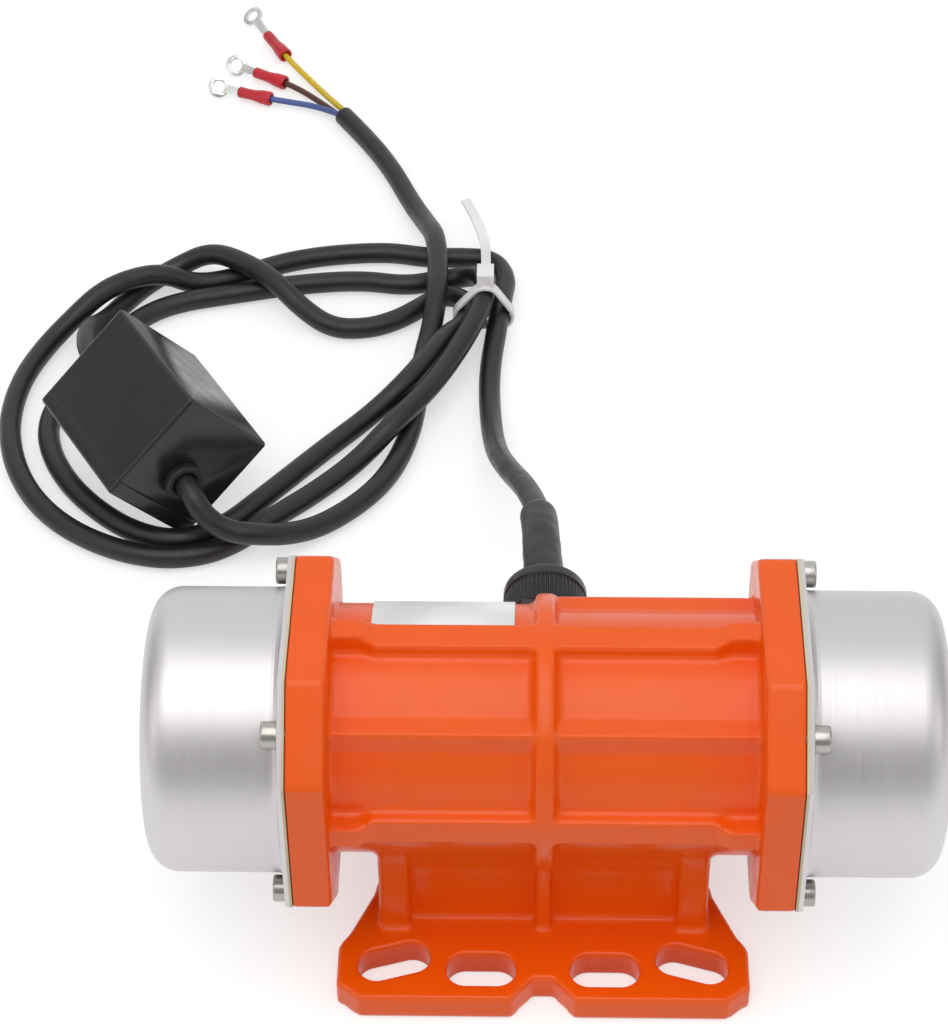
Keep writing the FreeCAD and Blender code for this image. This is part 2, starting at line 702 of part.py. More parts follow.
def weights():
    """Fixed and adjustable eccentric weights, with keys, clamp screws and nuts."""
    blank, hole = weight_blank("fixed_weight", "weight_start", "bearing_bore/2 + snug/2",
                               "bearing_start + bearing_width + snug", "spacer_radius")
    keyway = box("weight_keyway", "weight_thickness + 2", "key_width + snug", "key_width",
                 "weight_start - 1", "-(key_width + snug)/2",
                 "axis_height + bearing_bore/2 - key_width/2")
    both_sides("fixed_weight", cut("fixed_weight", blank, hole, keyway))
    made = key("weight_key", "right")
    place(made, "weight_start + 1.5", "-key_width/2",
          "axis_height + bearing_bore/2 - key_width/2")
    both_sides("weight_key", cut("key", made, box("key_trim", "40", "key_width + 2", "1",
                                                  "weight_start - 5", "-key_width/2 - 1",
                                                  "axis_height + bearing_bore/2 + key_width/2 - 0.1")))
    start = "(weight_start + weight_thickness + weight_gap)"
    blank, hole = weight_blank("adjustable_weight", start, "bearing_bore/2 + running",
                               start, "spacer_radius")
    lug = box("clamp_lug", "weight_thickness", "22", "weight_hub_radius + 9", start, "-11",
              "axis_height")
    split = box("clamp_split", "weight_thickness + 2", "2.5", "40", start + " - 1", "-1.25",
                "axis_height")
    screw_x = start + " + weight_thickness/2"
    screw_z = "axis_height + weight_hub_radius + 1.5"
    passage = cylinder("clamp_hole", "clamp_screw_size/2 + snug", "40", screw_x, "-20", screw_z, ALONG_Y)
    sink = cylinder("clamp_sink", "0.85*clamp_screw_size + 0.3", "20", screw_x, "-27.5", screw_z, ALONG_Y)
    base = cut("adjustable_body", fuse("adjustable_whole", blank, lug), hole, split, passage, sink)
    both_sides("adjustable_weight", base)
    head = cylinder("clamp_head", "0.85*clamp_screw_size", "clamp_screw_size",
                    screw_x, "-7.5 - clamp_screw_size", screw_z, ALONG_Y)
    shank = cylinder("clamp_shank", "clamp_screw_size/2", "18", screw_x, "-8", screw_z, ALONG_Y)
    socket = doc.addObject("Part::Prism", "clamp_socket")
    socket.Polygon = 6
    bind(socket, Circumradius="0.46*clamp_screw_size", Height="clamp_screw_size")
    place(socket, screw_x, "-7.5 - 1.5*clamp_screw_size", screw_z, ALONG_Y)
    both_sides("clamp_screw", cut("clamp_screw", fuse("clamp_whole", head, shank), socket))
    nut = doc.addObject("Part::Prism", "nut_blank")
    nut.Polygon = 6
    bind(nut, Circumradius="nut_width/sqrt(3)", Height="nut_thickness")
    place(nut, "shaft_end - 8", "0", "axis_height", ALONG_X)
    thread = on_axis("nut_hole", "nut_thread/2 + snug/2", "nut_thickness + 2", "shaft_end - 9")
    both_sides("shaft_nut", cut("shaft_nut", nut, thread))


# ---------------------------------------------------------------------------
# Covers
# ---------------------------------------------------------------------------
def covers():
    """Drawn end covers with their gaskets and screws."""
    seat = "(flange_face + gasket_thickness)"
    face = "(%s + cover_flange_thickness)" % seat

    def screw_holes(prefix, radius, length, start):
        return around_axis(prefix, 4, "cover_screw_radius",
                           lambda label, y, z: cylinder(label, radius, length, start, y, z), 45)

    gasket = cut("gasket", flange_plate("gasket_blank", "flange_face", "gasket_thickness"),
                 on_axis("gasket_opening", "cover_radius - cover_wall - 0.5", "6", "flange_face - 2"),
                 *screw_holes("gasket_hole", "cover_screw_size/2 + 0.3", "6", "flange_face - 2"))
    both_sides("cover_gasket", gasket)
    dome = turned("cover_dome", [
        (seat, "cover_radius - cover_wall"),
        (seat, "cover_radius"),
        ("overall_length/2", "cover_radius"),
        ("overall_length/2", "0"),
        ("overall_length/2 - cover_wall", "0"),
        ("overall_length/2 - cover_wall", "cover_radius - cover_wall")])
    rounding(dome, "cover_corner_radius", size("overall_length") / 2, size("cover_radius"))
    rounding(dome, "cover_corner_radius - cover_wall", size("overall_length") / 2 - size("cover_wall"),
             size("cover_radius") - size("cover_wall"))
    place(dome, z="axis_height")
    root = turned("cover_root", [(face + " - 0.5", "cover_radius - 0.5"),
                                 (face + " - 0.5", "cover_radius + cover_root_radius"),
                                 (face, "cover_radius + cover_root_radius"),
                                 (face + " + 0.13*cover_root_radius",
                                  "cover_radius + 0.5*cover_root_radius"),
                                 (face + " + 0.33*cover_root_radius",
                                  "cover_radius + 0.255*cover_root_radius"),
                                 (face + " + 0.66*cover_root_radius",
                                  "cover_radius + 0.06*cover_root_radius"),
                                 (face + " + cover_root_radius", "cover_radius"),
                                 (face + " + cover_root_radius", "cover_radius - 0.5")])
    place(root, z="axis_height")
    opening = on_axis("cover_opening", "cover_radius - cover_wall", "6", "flange_face - 1")
    heads = screw_holes("cover_spot", "0.85*cover_screw_size + 0.15", "20", face)
    holes = screw_holes("cover_hole", "cover_screw_size/2 + 0.3", "20", "flange_face - 5")
    cover = cut("cover", fuse("cover_blank", dome, root, flange_plate("cover_flange", seat,
                                                                     "cover_flange_thickness")),
                opening, *heads, *holes)
    both_sides("cover", cover)
    screws = around_axis("cover_screw", 4, "cover_screw_radius",
                         lambda label, y, z: socket_screw(label, "cover_screw_size", face, "11", y, z), 45)
    both_sides("cover_screws", group("cover_screw_set", *screws))


def soften(body, radius, wanted):
    """Round those edges of a body whose box, in the body's own frame, is wanted."""
    doc.recompute()
    tip = body.Tip
    names = ["Edge%d" % number for number, edge in enumerate(tip.Shape.Edges, start=1)
             if wanted(edge.BoundBox)]
    fillet = body.newObject("PartDesign::Fillet", body.Name + "_edges")
    fillet.Base = (tip, names)
    bind(fillet, Radius=radius)


def rounding(body, radius, x, edge_radius):
    """Round the circular edge of a turned body at a place along its axis."""
    doc.recompute()
    tip = body.Tip
    for number, edge in enumerate(tip.Shape.Edges, start=1):
        if (edge.Curve.TypeId == "Part::GeomCircle" and abs(edge.Curve.Radius - edge_radius) < 1e-6
                and abs(edge.Curve.Center.x - x) < 1e-6):
            fillet = body.newObject("PartDesign::Fillet", body.Name + "_round_%d" % number)
            fillet.Base = (tip, ["Edge%d" % number])
            bind(fillet, Radius=radius)
            return
    raise RuntimeError("no edge to round on " + body.Name)


# ---------------------------------------------------------------------------
# Rating plate and cable gland
# ---------------------------------------------------------------------------
def rating_plate():
    """A bare curved plate on the pad behind the top rib."""
    plate = on_axis("plate_sheet", "label_pad_radius + 0.6", "plate_length",
                    "-(flange_inner_face - plate_margin)")
    plate.Angle = 46
    plate.Placement.Rotation = Rotation(Vector(1, 0, 0), 125.0).multiply(ALONG_X)
    pad = on_axis("plate_seat", "label_pad_radius + 3*snug", "plate_length + 4",
                  "-(flange_inner_face - plate_margin + 2)")
    finished("rating_plate", cut("plate", plate, pad))


def gland():
    """Cable gland behind the housing: body, seal and clamping nut."""
    hexagon = doc.addObject("Part::Prism", "gland_hexagon")
    hexagon.Polygon = 6
    bind(hexagon, Circumradius="gland_hex_width/sqrt(3)", Height="gland_hex_end - boss_face - snug")
    place(hexagon, "0", "boss_face + snug", "axis_height", ALONG_Y)
    spigot = cylinder("gland_spigot", "gland_bore - snug", "9", "0", "boss_face - 8",
                      "axis_height", ALONG_Y)
    collar = cylinder("gland_collar", "gland_nut_radius - 2.6",
                      "gland_nut_end - gland_hex_end - 4.5", "0", "gland_hex_end - 0.5",
                      "axis_height", ALONG_Y)
    passage = cylinder("gland_passage", "lead_diameter/2 + 0.5", "40", "0", "boss_face - 20",
                       "axis_height", ALONG_Y)
    pocket = cylinder("gland_pocket", "gland_nut_radius - 5.1", "20", "0", "gland_hex_end",
                      "axis_height", ALONG_Y)
    finished("gland_body", cut("gland", fuse("gland_blank", hexagon, spigot, collar), passage, pocket))
    seal = cylinder("seal_blank", "gland_nut_radius - 5.4", "gland_nut_end - gland_hex_end - 5.1",
                    "0", "gland_hex_end + snug", "axis_height", ALONG_Y)
    hole = cylinder("seal_hole", "lead_diameter/2 + 0.5", "20", "0", "gland_hex_end - 2",
                    "axis_height", ALONG_Y)
    finished("gland_seal", cut("seal", seal, hole))
    nut = cylinder("nut_round", "gland_nut_radius", "gland_nut_end - gland_hex_end - 0.1", "0",
                   "gland_hex_end + 0.1", "axis_height", ALONG_Y)
    bore = cylinder("nut_cavity", "gland_nut_radius - 2.5", "gland_nut_end - gland_hex_end - 4.3",
                    "0", "gland_hex_end", "axis_height", ALONG_Y)
    mouth = cylinder("nut_mouth", "gland_nut_mouth", "20", "0", "gland_hex_end", "axis_height", ALONG_Y)
    grooves = []
    for i in range(36):
        angle = math.tau * i / 36
        grooves.append(cylinder("nut_groove_%d" % i, "0.6", "gland_nut_end - gland_hex_end - 4.5",
                                "gland_nut_radius * %.9f" % math.cos(angle),
                                "gland_hex_end", "axis_height + gland_nut_radius * %.9f" % math.sin(angle),
                                ALONG_Y))
    finished("gland_nut", cut("gland_nut", nut, bore, mouth, *grooves))


# ---------------------------------------------------------------------------
# Leads
# ---------------------------------------------------------------------------
MOTOR_LEAD = [
    (0, 52, 72), (-1, 96, 71), (-5.5, 127, 57), (-13.5, 162, 35.5), (-18.5, 196, 14), (-21, 226, 4.2),
    (-21.8, 252, 4.2), (-19.2, 276, 5.9), (-17.5, 294, 5.9), (-15.5, 311, 4.2), (-21.5, 323, 4.2),
    (-34, 324, 4.2), (-47, 323.5, 4.2), (-66, 328, 4.2), (-101, 323, 4.2), (-126, 309.5, 4.2),
    (-141, 305, 4.8), (-152, 303, 12), (-164, 299, 13.2), (-176, 290, 13.2), (-187, 279.5, 7.5),
    (-196.5, 266, 4.2), (-203, 247, 4.2), (-205, 226, 4.2), (-202.5, 207, 4.2), (-196, 188.5, 4.2),
    (-186, 172.5, 4.2), (-172, 159.5, 4.2), (-154, 150, 4.2), (-135.5, 146.5, 4.2),
    (-117, 151.5, 4.2), (-100.5, 168.5, 4.2), (-84, 184, 4.2), (-69.5, 200.5, 5), (-57, 212.5, 12.9),
    (-44.5, 232, 12.8), (-35.5, 251, 13.2), (-28, 270, 14.6), (-23.7, 286, 14.6), (-24.5, 301, 13.4),
    (-31, 310, 5.5), (-43, 309.3, 4.2), (-56, 305.5, 4.2), (-74, 309, 4.2), (-98, 306.5, 4.2),
    (-124, 300.2, 4.2), (-147, 294.4, 4.2), (-160, 285.5, 4.2), (-169, 272, 4.2), (-177.5, 256, 4.2),
    (-185.5, 239, 4.2), (-190, 221, 4.2), (-187, 204.5, 4.2), (-178.5, 187.5, 4.2),
    (-166, 172.5, 4.2), (-151, 160.5, 4.2), (-134.5, 155.6, 4.2), (-118.5, 162.5, 4.2),
    (-103.5, 181, 4.2), (-83, 207, 4.2), (-66, 225.5, 5.5), (-53, 236.5, 12.8), (-45.5, 251, 12.8),
    (-38.5, 267, 11), (-31.8, 279.5, 5.9), (-30.2, 289, 5.9), (-31.7, 295.1, 4.8), (-36.3, 299, 4.2),
    (-42.4, 299, 4.2), (-49, 292.5, 4.2), (-58.5, 284, 4.2), (-70, 278.5, 4.2), (-84.5, 278.5, 4.2), (-97, 287.5, 7.5),
    (-107.5, 297.5, 12.9), (-121, 309.5, 13), (-135, 317.5, 12), (-149, 315.5, 5.5),
    (-160.5, 305.5, 4.2), (-168.5, 293, 4.2), (-174, 280, 6), (-178.5, 266, 13.8), (-177.5, 252, 17),
    (-172.8, 240, 19.3), (-165.9, 229.4, 19.8), (-156.5, 214.1, 19.8)]

SUPPLY_LEAD = [
    (-133.9, 166.9, 28.5), (-128.2, 157.5, 28.5), (-124, 151.8, 22.2), (-115.5, 149.5, 15.5),
    (-104, 150.5, 13), (-93.5, 156, 8), (-82.5, 164, 4.5), (-70, 175.5, 4.2), (-60, 189, 4.2),
    (-53.5, 206, 4.2), (-50, 225, 4.2), (-49, 245, 4.2), (-47.5, 262, 4.2), (-44.5, 276, 8),
    (-43, 288, 13.2), (-43, 307, 13.2), (-44.5, 327, 13.2), (-49, 343, 7), (-56, 361, 4.2),
    (-64, 382, 4.2), (-75, 403.5, 4.2), (-87, 422, 4.2)]


def rounded_run(points):
    """Straight runs joined by tangent arcs, as a list of edges."""
    spots = [Vector(*point) for point in points]
    edges = []
    last = spots[0]
    for before, corner, after in zip(spots, spots[1:], spots[2:]):
        back = (before - corner).normalize()
        ahead = (after - corner).normalize()
        reach = 0.45 * min((before - corner).Length, (after - corner).Length)
        start = corner + back * reach
        stop = corner + ahead * reach
        half = (math.pi - back.getAngle(ahead)) / 2
        radius = reach / math.tan(half)
        middle = corner + (back + ahead).normalize() * (radius / math.cos(half) - radius)
        edges.append(Part.LineSegment(last, start).toShape())
        edges.append(Part.Arc(start, middle, stop).toShape())
        last = stop
    edges.append(Part.LineSegment(last, spots[-1]).toShape())
    return edges


def tube(edges, radius, bore=None):
    """A round tube, or a solid cord, along a run of edges."""
    start = edges[0].valueAt(edges[0].FirstParameter)
    heading = edges[0].tangentAt(edges[0].FirstParameter)
    path = Part.Wire(edges)
    solids = []
    for r in [radius] + ([bore] if bore else []):
        ring = Part.Wire(Part.makeCircle(r, start, heading))
        solids.append(path.makePipeShell([ring], True, False, 1))
    return solids[0].cut(solids[1]) if bore else solids[0]


def shaped(name, shape):
    """A finished sub-part whose shape has no ready-made feature."""
    item = doc.addObject("Part::Feature", name)
    item.Shape = shape
    return finished(name, item)


def cord(name, points, diameter):
    """A flexible cord, its bends and its volume written out."""
    edges = rounded_run(points)
    shape = tube(edges, diameter / 2)
    run = sum(edge.Length for edge in edges)
    tight = min(edge.Curve.Radius for edge in edges[1::2])
    section = math.pi * diameter ** 2 / 4
    print("%s: length %.1f, tightest bend %.1f, volume ratio %.4f"
          % (name, run, tight, shape.Volume / (section * run)))
    shaped(name, shape)
    return edges


def leads():
    """Both leads and the shrunk-on sleeve behind the gland."""
    edges = cord("motor_lead", MOTOR_LEAD, size("lead_diameter"))
    cord("supply_lead", SUPPLY_LEAD, size("lead_diameter"))
    first = edges[0]
    start = first.valueAt(first.FirstParameter + size("gland_nut_end") + 0.3 - MOTOR_LEAD[0][1])
    straight = Part.LineSegment(start, first.valueAt(first.LastParameter)).toShape()
    shaped("strain_sleeve", tube([straight, edges[1]], size("sleeve_diameter") / 2,
                                 size("lead_diameter") / 2 + 0.3))


# ---------------------------------------------------------------------------
# Capacitor box
# ---------------------------------------------------------------------------
def case_frame(item, across="0", deep="0", up="0", turn=Rotation()):
    """Place an item by coordinates along, across and up the tilted box."""
    yaw = math.radians(size("case_yaw"))
    roll = math.radians(size("case_roll"))
    along = (math.cos(yaw), math.sin(yaw), 0)
    side = (-math.cos(roll) * math.sin(yaw), math.cos(roll) * math.cos(yaw), math.sin(roll))
    lift = (math.sin(roll) * math.sin(yaw), -math.sin(roll) * math.cos(yaw), math.cos(roll))
    lean = Rotation(Vector(0, 0, 1), size("case_yaw")).multiply(
        Rotation(Vector(1, 0, 0), size("case_roll")))
    spots = ["case_%s + (%s)*%.9f + (%s)*%.9f + (%s)*%.9f"
             % (axis, across, along[i], deep, side[i], up, lift[i]) for i, axis in enumerate("xyz")]
    return place(item, *spots, turn=lean.multiply(turn))


def rounded_block(name, length, width, height):
    """A block centred on its own X and Y, standing on its own XY plane, with soft edges."""
    body = prism(name, [("-%s/2" % length, "-%s/2" % width), ("%s/2" % length, "-%s/2" % width),
                        ("%s/2" % length, "%s/2" % width), ("-%s/2" % length, "%s/2" % width)],
                 height, plane="XY")
    doc.recompute()
    soft = body.newObject("PartDesign::Fillet", name + "_soft")
    tip = body.Tip if body.Tip != soft else soft.BaseFeature
    soft.Base = (tip, ["Edge%d" % i for i in range(1, len(tip.Shape.Edges) + 1)])
    bind(soft, Radius="case_corner")
    return body


ENTRIES = (("near", 1, "grommet_offset", "0"), ("far", -1, "far_entry_deep", "far_entry_up"))


def capacitor_box():
    """Case, lid, grommets and the capacitor inside."""
    onto_side = Rotation(Vector(1, 0, 0), -90)
    shell = rounded_block("case_block", "case_length", "case_height", "case_depth")
    case_frame(shell, deep="-case_depth/2", turn=onto_side)
    above = box("case_above", "case_length + 4", "lid_thickness + 2", "case_height + 4")
    case_frame(above, "-case_length/2 - 2", "case_depth/2 - lid_thickness", "-case_height/2 - 2")
    hollow = box("case_hollow", "case_length - 2*case_wall", "case_depth", "case_height - 2*case_wall")
    case_frame(hollow, "-case_length/2 + case_wall", "-case_depth/2 + case_wall",
               "-case_height/2 + case_wall")
    ends = []
    for side, sign, offset, up in ENTRIES:
        hole = cylinder(side + "_entry", "grommet_radius - 1", "10")
        case_frame(hole, "%d*case_length/2 - 5" % sign, offset, up, ALONG_X)
        ends.append(hole)
    finished("capacitor_case", cut("case", shell, above, hollow, *ends))
    top = rounded_block("lid_block", "case_length", "case_height", "case_depth")
    case_frame(top, deep="-case_depth/2", turn=onto_side)
    keep = box("lid_keep", "case_length + 4", "lid_thickness + 2", "case_height + 4")
    case_frame(keep, "-case_length/2 - 2", "case_depth/2 - lid_thickness + snug", "-case_height/2 - 2")
    lid = doc.addObject("Part::Common", "lid")
    lid.Base = top
    lid.Tool = keep
    finished("capacitor_lid", lid)
    rings = []
    for side, sign, offset, up in ENTRIES:
        collar = cylinder(side + "_collar", "grommet_radius", "grommet_depth")
        neck = cylinder(side + "_neck", "grommet_radius - 1.1", "case_wall + 0.5")
        bore = cylinder(side + "_bore", "lead_diameter/2 + 0.35", "20")
        outer = "case_length/2 + snug" if sign > 0 else "-case_length/2 - snug - grommet_depth"
        inner = "case_length/2 - case_wall" if sign > 0 else "-case_length/2 - 0.5"
        case_frame(collar, outer, offset, up, ALONG_X)
        case_frame(neck, inner, offset, up, ALONG_X)
        case_frame(bore, "%d*case_length/2 - 10" % sign, offset, up, ALONG_X)
        rings.append(cut(side + "_grommet", fuse(side + "_ring", collar, neck), bore))
    finished("lead_grommets", group("grommets", *rings))
    can = cylinder("capacitor_can", "capacitor_radius", "capacitor_length")
    case_frame(can, "-capacitor_length/2", "-case_depth/2 + case_wall + capacitor_radius + 0.2", "0",
               ALONG_X)
    finished("run_capacitor", can)


# ---------------------------------------------------------------------------
# Cable tie, cores and ring terminals
# ---------------------------------------------------------------------------
TIE_STRANDS = [(-30.8, 5.9), (-23.7, 14.6), (-18.2, 5.9)]
TIE_HEAD = -27.0
TIE_PLACE = 286.0
TIE_WIDTH = 4.6
TIE_TAIL = [(-23.6, 292.5, 21.6), (-23.7, 303.4, 20), (-24.4, 318, 17), (-27.6, 335, 14), (-33, 352, 12)]


def hull(centres, radius):
    """Outline of the band laid round three equal circles."""
    count = len(centres)
    outline = []
    for i in range(count):
        before, here, after = centres[i - 1], centres[i], centres[(i + 1) % count]
        first = math.atan2(here[1] - before[1], here[0] - before[0]) + math.pi / 2
        final = math.atan2(after[1] - here[1], after[0] - here[0]) + math.pi / 2
        while final > first:
            final -= math.tau
        for step in range(9):
            angle = first + (final - first) * step / 8
            outline.append(Vector(here[0] + radius * math.cos(angle), TIE_PLACE - TIE_WIDTH / 2,
                                  here[1] + radius * math.sin(angle)))
    return Part.Face(Part.makePolygon(outline + outline[:1]))


def ribbon(points, width, thickness):
    """A flat strip along a run of points, lying level across its width."""
    edges = rounded_run(points)
    start = edges[0].valueAt(edges[0].FirstParameter)
    heading = edges[0].tangentAt(edges[0].FirstParameter)
    across = heading.cross(Vector(0, 0, 1)).normalize() * (width / 2)
    lift = across.cross(heading).normalize() * (thickness / 2)
    corners = [start - across - lift, start + across - lift, start + across + lift, start - across + lift]
    sweep = Part.BRepOffsetAPI.MakePipeShell(Part.Wire(edges))
    sweep.setBiNormalMode(Vector(0, 0, 1))
    sweep.add(Part.makePolygon(corners + corners[:1]))
    sweep.build()
    sweep.makeSolid()
    return sweep.shape()


def cable_tie():
    """The tie round the bundled lead: band, head and tail."""
    inner = size("lead_diameter") / 2 + 0.6
    outer = inner + 1.1
    depth = Vector(0, TIE_WIDTH, 0)
    band = hull(TIE_STRANDS, outer).extrude(depth).cut(hull(TIE_STRANDS, inner).extrude(depth))
    head = Part.makeBox(size("tie_head_width"), size("tie_head_length"), size("tie_head_height"),
                        Vector(TIE_HEAD, TIE_PLACE - 1.2, TIE_STRANDS[1][1] + inner + 0.3))
    tail = ribbon(TIE_TAIL, 3.8, 1.2)
    shaped("cable_tie", band.fuse([head, tail]).removeSplitter())


TERMINALS = {
    "earth": dict(core=[(-85.97, 423.2, 5.1), (-91, 431.5, 3.6), (-99, 444.3, 2.4), (-110.6, 461.6, 2.6),
                        (-115, 468.1, 3.3), (-120.5, 477.3, 3.4)],
                  sleeve=((-115, 468.1, 3.3), (-124.3, 484, 3.6)), ring=(-131.6, 497.3, 4.6), roll=-32),
    "line": dict(core=[(-87.24, 422.4, 2.4), (-94.5, 431, 2.2), (-102.2, 439.1, 2.2), (-107.6, 443.8, 2.5),
                       (-113.8, 447.6, 3.2), (-120.8, 451.6, 3.2)],
                 sleeve=((-113.8, 447.6, 3.2), (-127.7, 455.6, 3.3)), ring=(-136, 458.7, 4.7), roll=-48),
    "neutral": dict(core=[(-88.5, 421.55, 5.1), (-95.4, 427.6, 3.6), (-103.6, 432.4, 2.5),
                          (-111.5, 434.4, 2.5), (-119.2, 435.5, 3.2), (-126.5, 438.2, 3.2)],
                    sleeve=((-119.2, 435.5, 3.2), (-133.6, 440.7, 3.3)), ring=(-142.4, 442.4, 4.7),
                    roll=-50)}


def terminal(name, sleeve, ring, roll):
    """A ring terminal with its insulating sleeve, wider at the end where the core enters."""
    back, front, eye = Vector(*sleeve[0]), Vector(*sleeve[1]), Vector(*ring)
    reach = front - back
    heading = Vector(reach).normalize()
    radius = size("terminal_sleeve_radius")
    bore = radius - 0.65
    cover = Part.makeCone(radius + 0.4, radius - 0.25, reach.Length, back, heading)
    cover = cover.cut(Part.makeCylinder(bore, reach.Length + 2, back - heading, heading))
    shaped(name + "_sleeve", cover)
    barrel = Part.makeCylinder(bore - 0.1, reach.Length * 0.45, back + reach * 0.56, heading)
    ahead = Vector(eye - front)
    tongue_heading = Vector(ahead).normalize()
    across = tongue_heading.cross(Vector(0, 0, 1)).normalize()
    across = Rotation(tongue_heading, roll).multVec(across)
    normal = across.cross(tongue_heading).normalize()
    thick = size("terminal_thickness")
    half = 1.35
    corners = [front - heading * 2.5 - across * half - normal * thick / 2,
               front - heading * 2.5 + across * half - normal * thick / 2,
               eye + across * (half + 0.7) - normal * thick / 2,
               eye - across * (half + 0.7) - normal * thick / 2]
    tongue = Part.Face(Part.makePolygon(corners + corners[:1])).extrude(normal * thick)
    disc = Part.makeCylinder(size("terminal_ring_radius"), thick, eye - normal * thick / 2, normal)
    hole = Part.makeCylinder(size("terminal_hole_radius"), 3 * thick, eye - normal * 1.5 * thick, normal)
    shaped(name + "_terminal", barrel.fuse([tongue, disc]).cut(hole).removeSplitter())
    print("%s terminal: ring at %s, normal %s" % (name, [round(v, 2) for v in eye],
                                                   [round(v, 4) for v in normal]))


def cores_and_terminals():
    for name, data in TERMINALS.items():
        run = list(data["core"])
        back, front = Vector(*data["sleeve"][0]), Vector(*data["sleeve"][1])
        run[-1] = tuple(back + (front - back) * 0.5)
        cord(name + "_core", run, size("core_diameter") - 0.2)
        terminal(name, data["sleeve"], data["ring"], data["roll"])


motor_housing()
end_shields()
bearings()
stator()
rotor()
weights()
covers()
rating_plate()
gland()
leads()
capacitor_box()
cable_tie()
cores_and_terminals()
doc.recompute()

# ---------------------------------------------------------------------------
# Check and export
# ---------------------------------------------------------------------------
troubled = [item.Name for item in doc.Objects if "Invalid" in item.State or "Error" in item.State]
if troubled:
    raise RuntimeError("objects in error: " + ", ".join(troubled))
os.makedirs("parts", exist_ok=True)
for item in nodes:
    shape = item.Shape
    if shape.isNull() or not shape.isValid() or not shape.Solids:
        raise RuntimeError("bad shape: " + item.Label)
    shape.exportStep("parts/%s.step" % item.Label)
    box_ = shape.BoundBox
    print("%-26s solids %2d  volume %10.1f  x %7.2f..%7.2f  y %7.2f..%7.2f  z %7.2f..%7.2f"
          % (item.Label, len(shape.Solids), shape.Volume, box_.XMin, box_.XMax, box_.YMin, box_.YMax,
             box_.ZMin, box_.ZMax))
print("sub-parts:", len(nodes))
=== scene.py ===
import json
import math

import bpy
from bpy.props import FloatProperty, FloatVectorProperty, IntProperty, PointerProperty
from mathutils import Matrix, Vector


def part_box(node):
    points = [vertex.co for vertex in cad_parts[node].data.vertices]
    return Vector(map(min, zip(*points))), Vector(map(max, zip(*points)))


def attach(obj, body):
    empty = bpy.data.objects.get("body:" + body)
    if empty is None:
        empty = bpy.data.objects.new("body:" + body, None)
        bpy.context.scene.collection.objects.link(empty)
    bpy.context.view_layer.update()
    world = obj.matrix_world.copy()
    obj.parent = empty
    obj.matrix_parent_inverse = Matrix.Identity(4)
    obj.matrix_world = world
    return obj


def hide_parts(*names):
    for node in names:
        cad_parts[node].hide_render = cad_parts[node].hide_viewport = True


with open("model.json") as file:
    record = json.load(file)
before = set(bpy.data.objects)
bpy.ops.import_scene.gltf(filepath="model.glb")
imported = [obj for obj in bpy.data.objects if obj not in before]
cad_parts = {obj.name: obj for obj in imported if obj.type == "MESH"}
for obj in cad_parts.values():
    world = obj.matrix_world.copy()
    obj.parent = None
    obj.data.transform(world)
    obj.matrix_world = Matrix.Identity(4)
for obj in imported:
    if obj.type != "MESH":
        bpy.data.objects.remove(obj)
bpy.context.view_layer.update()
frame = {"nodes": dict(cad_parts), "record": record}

bl_info = {
    "name": "Vibration Motor",
    "version": (1, 0, 0),
    "blender": (4, 5, 0),
    "location": "3D View > Sidebar > Vibration Motor",
    "description": "Dresses a foot-mounted vibration motor with its lead, capacitor box and ring terminals",
    "category": "Object",
}

MM = 0.001
HOUSING = "housing"
SHAFT_HEIGHT = 0.072     # of the shaft's centre above the floor, in metres
MERGE_GAP = 0.000002     # corners nearer than this become one, in metres
CASTING_FACES = 90000    # four-sided faces left in the casting, each as two triangles

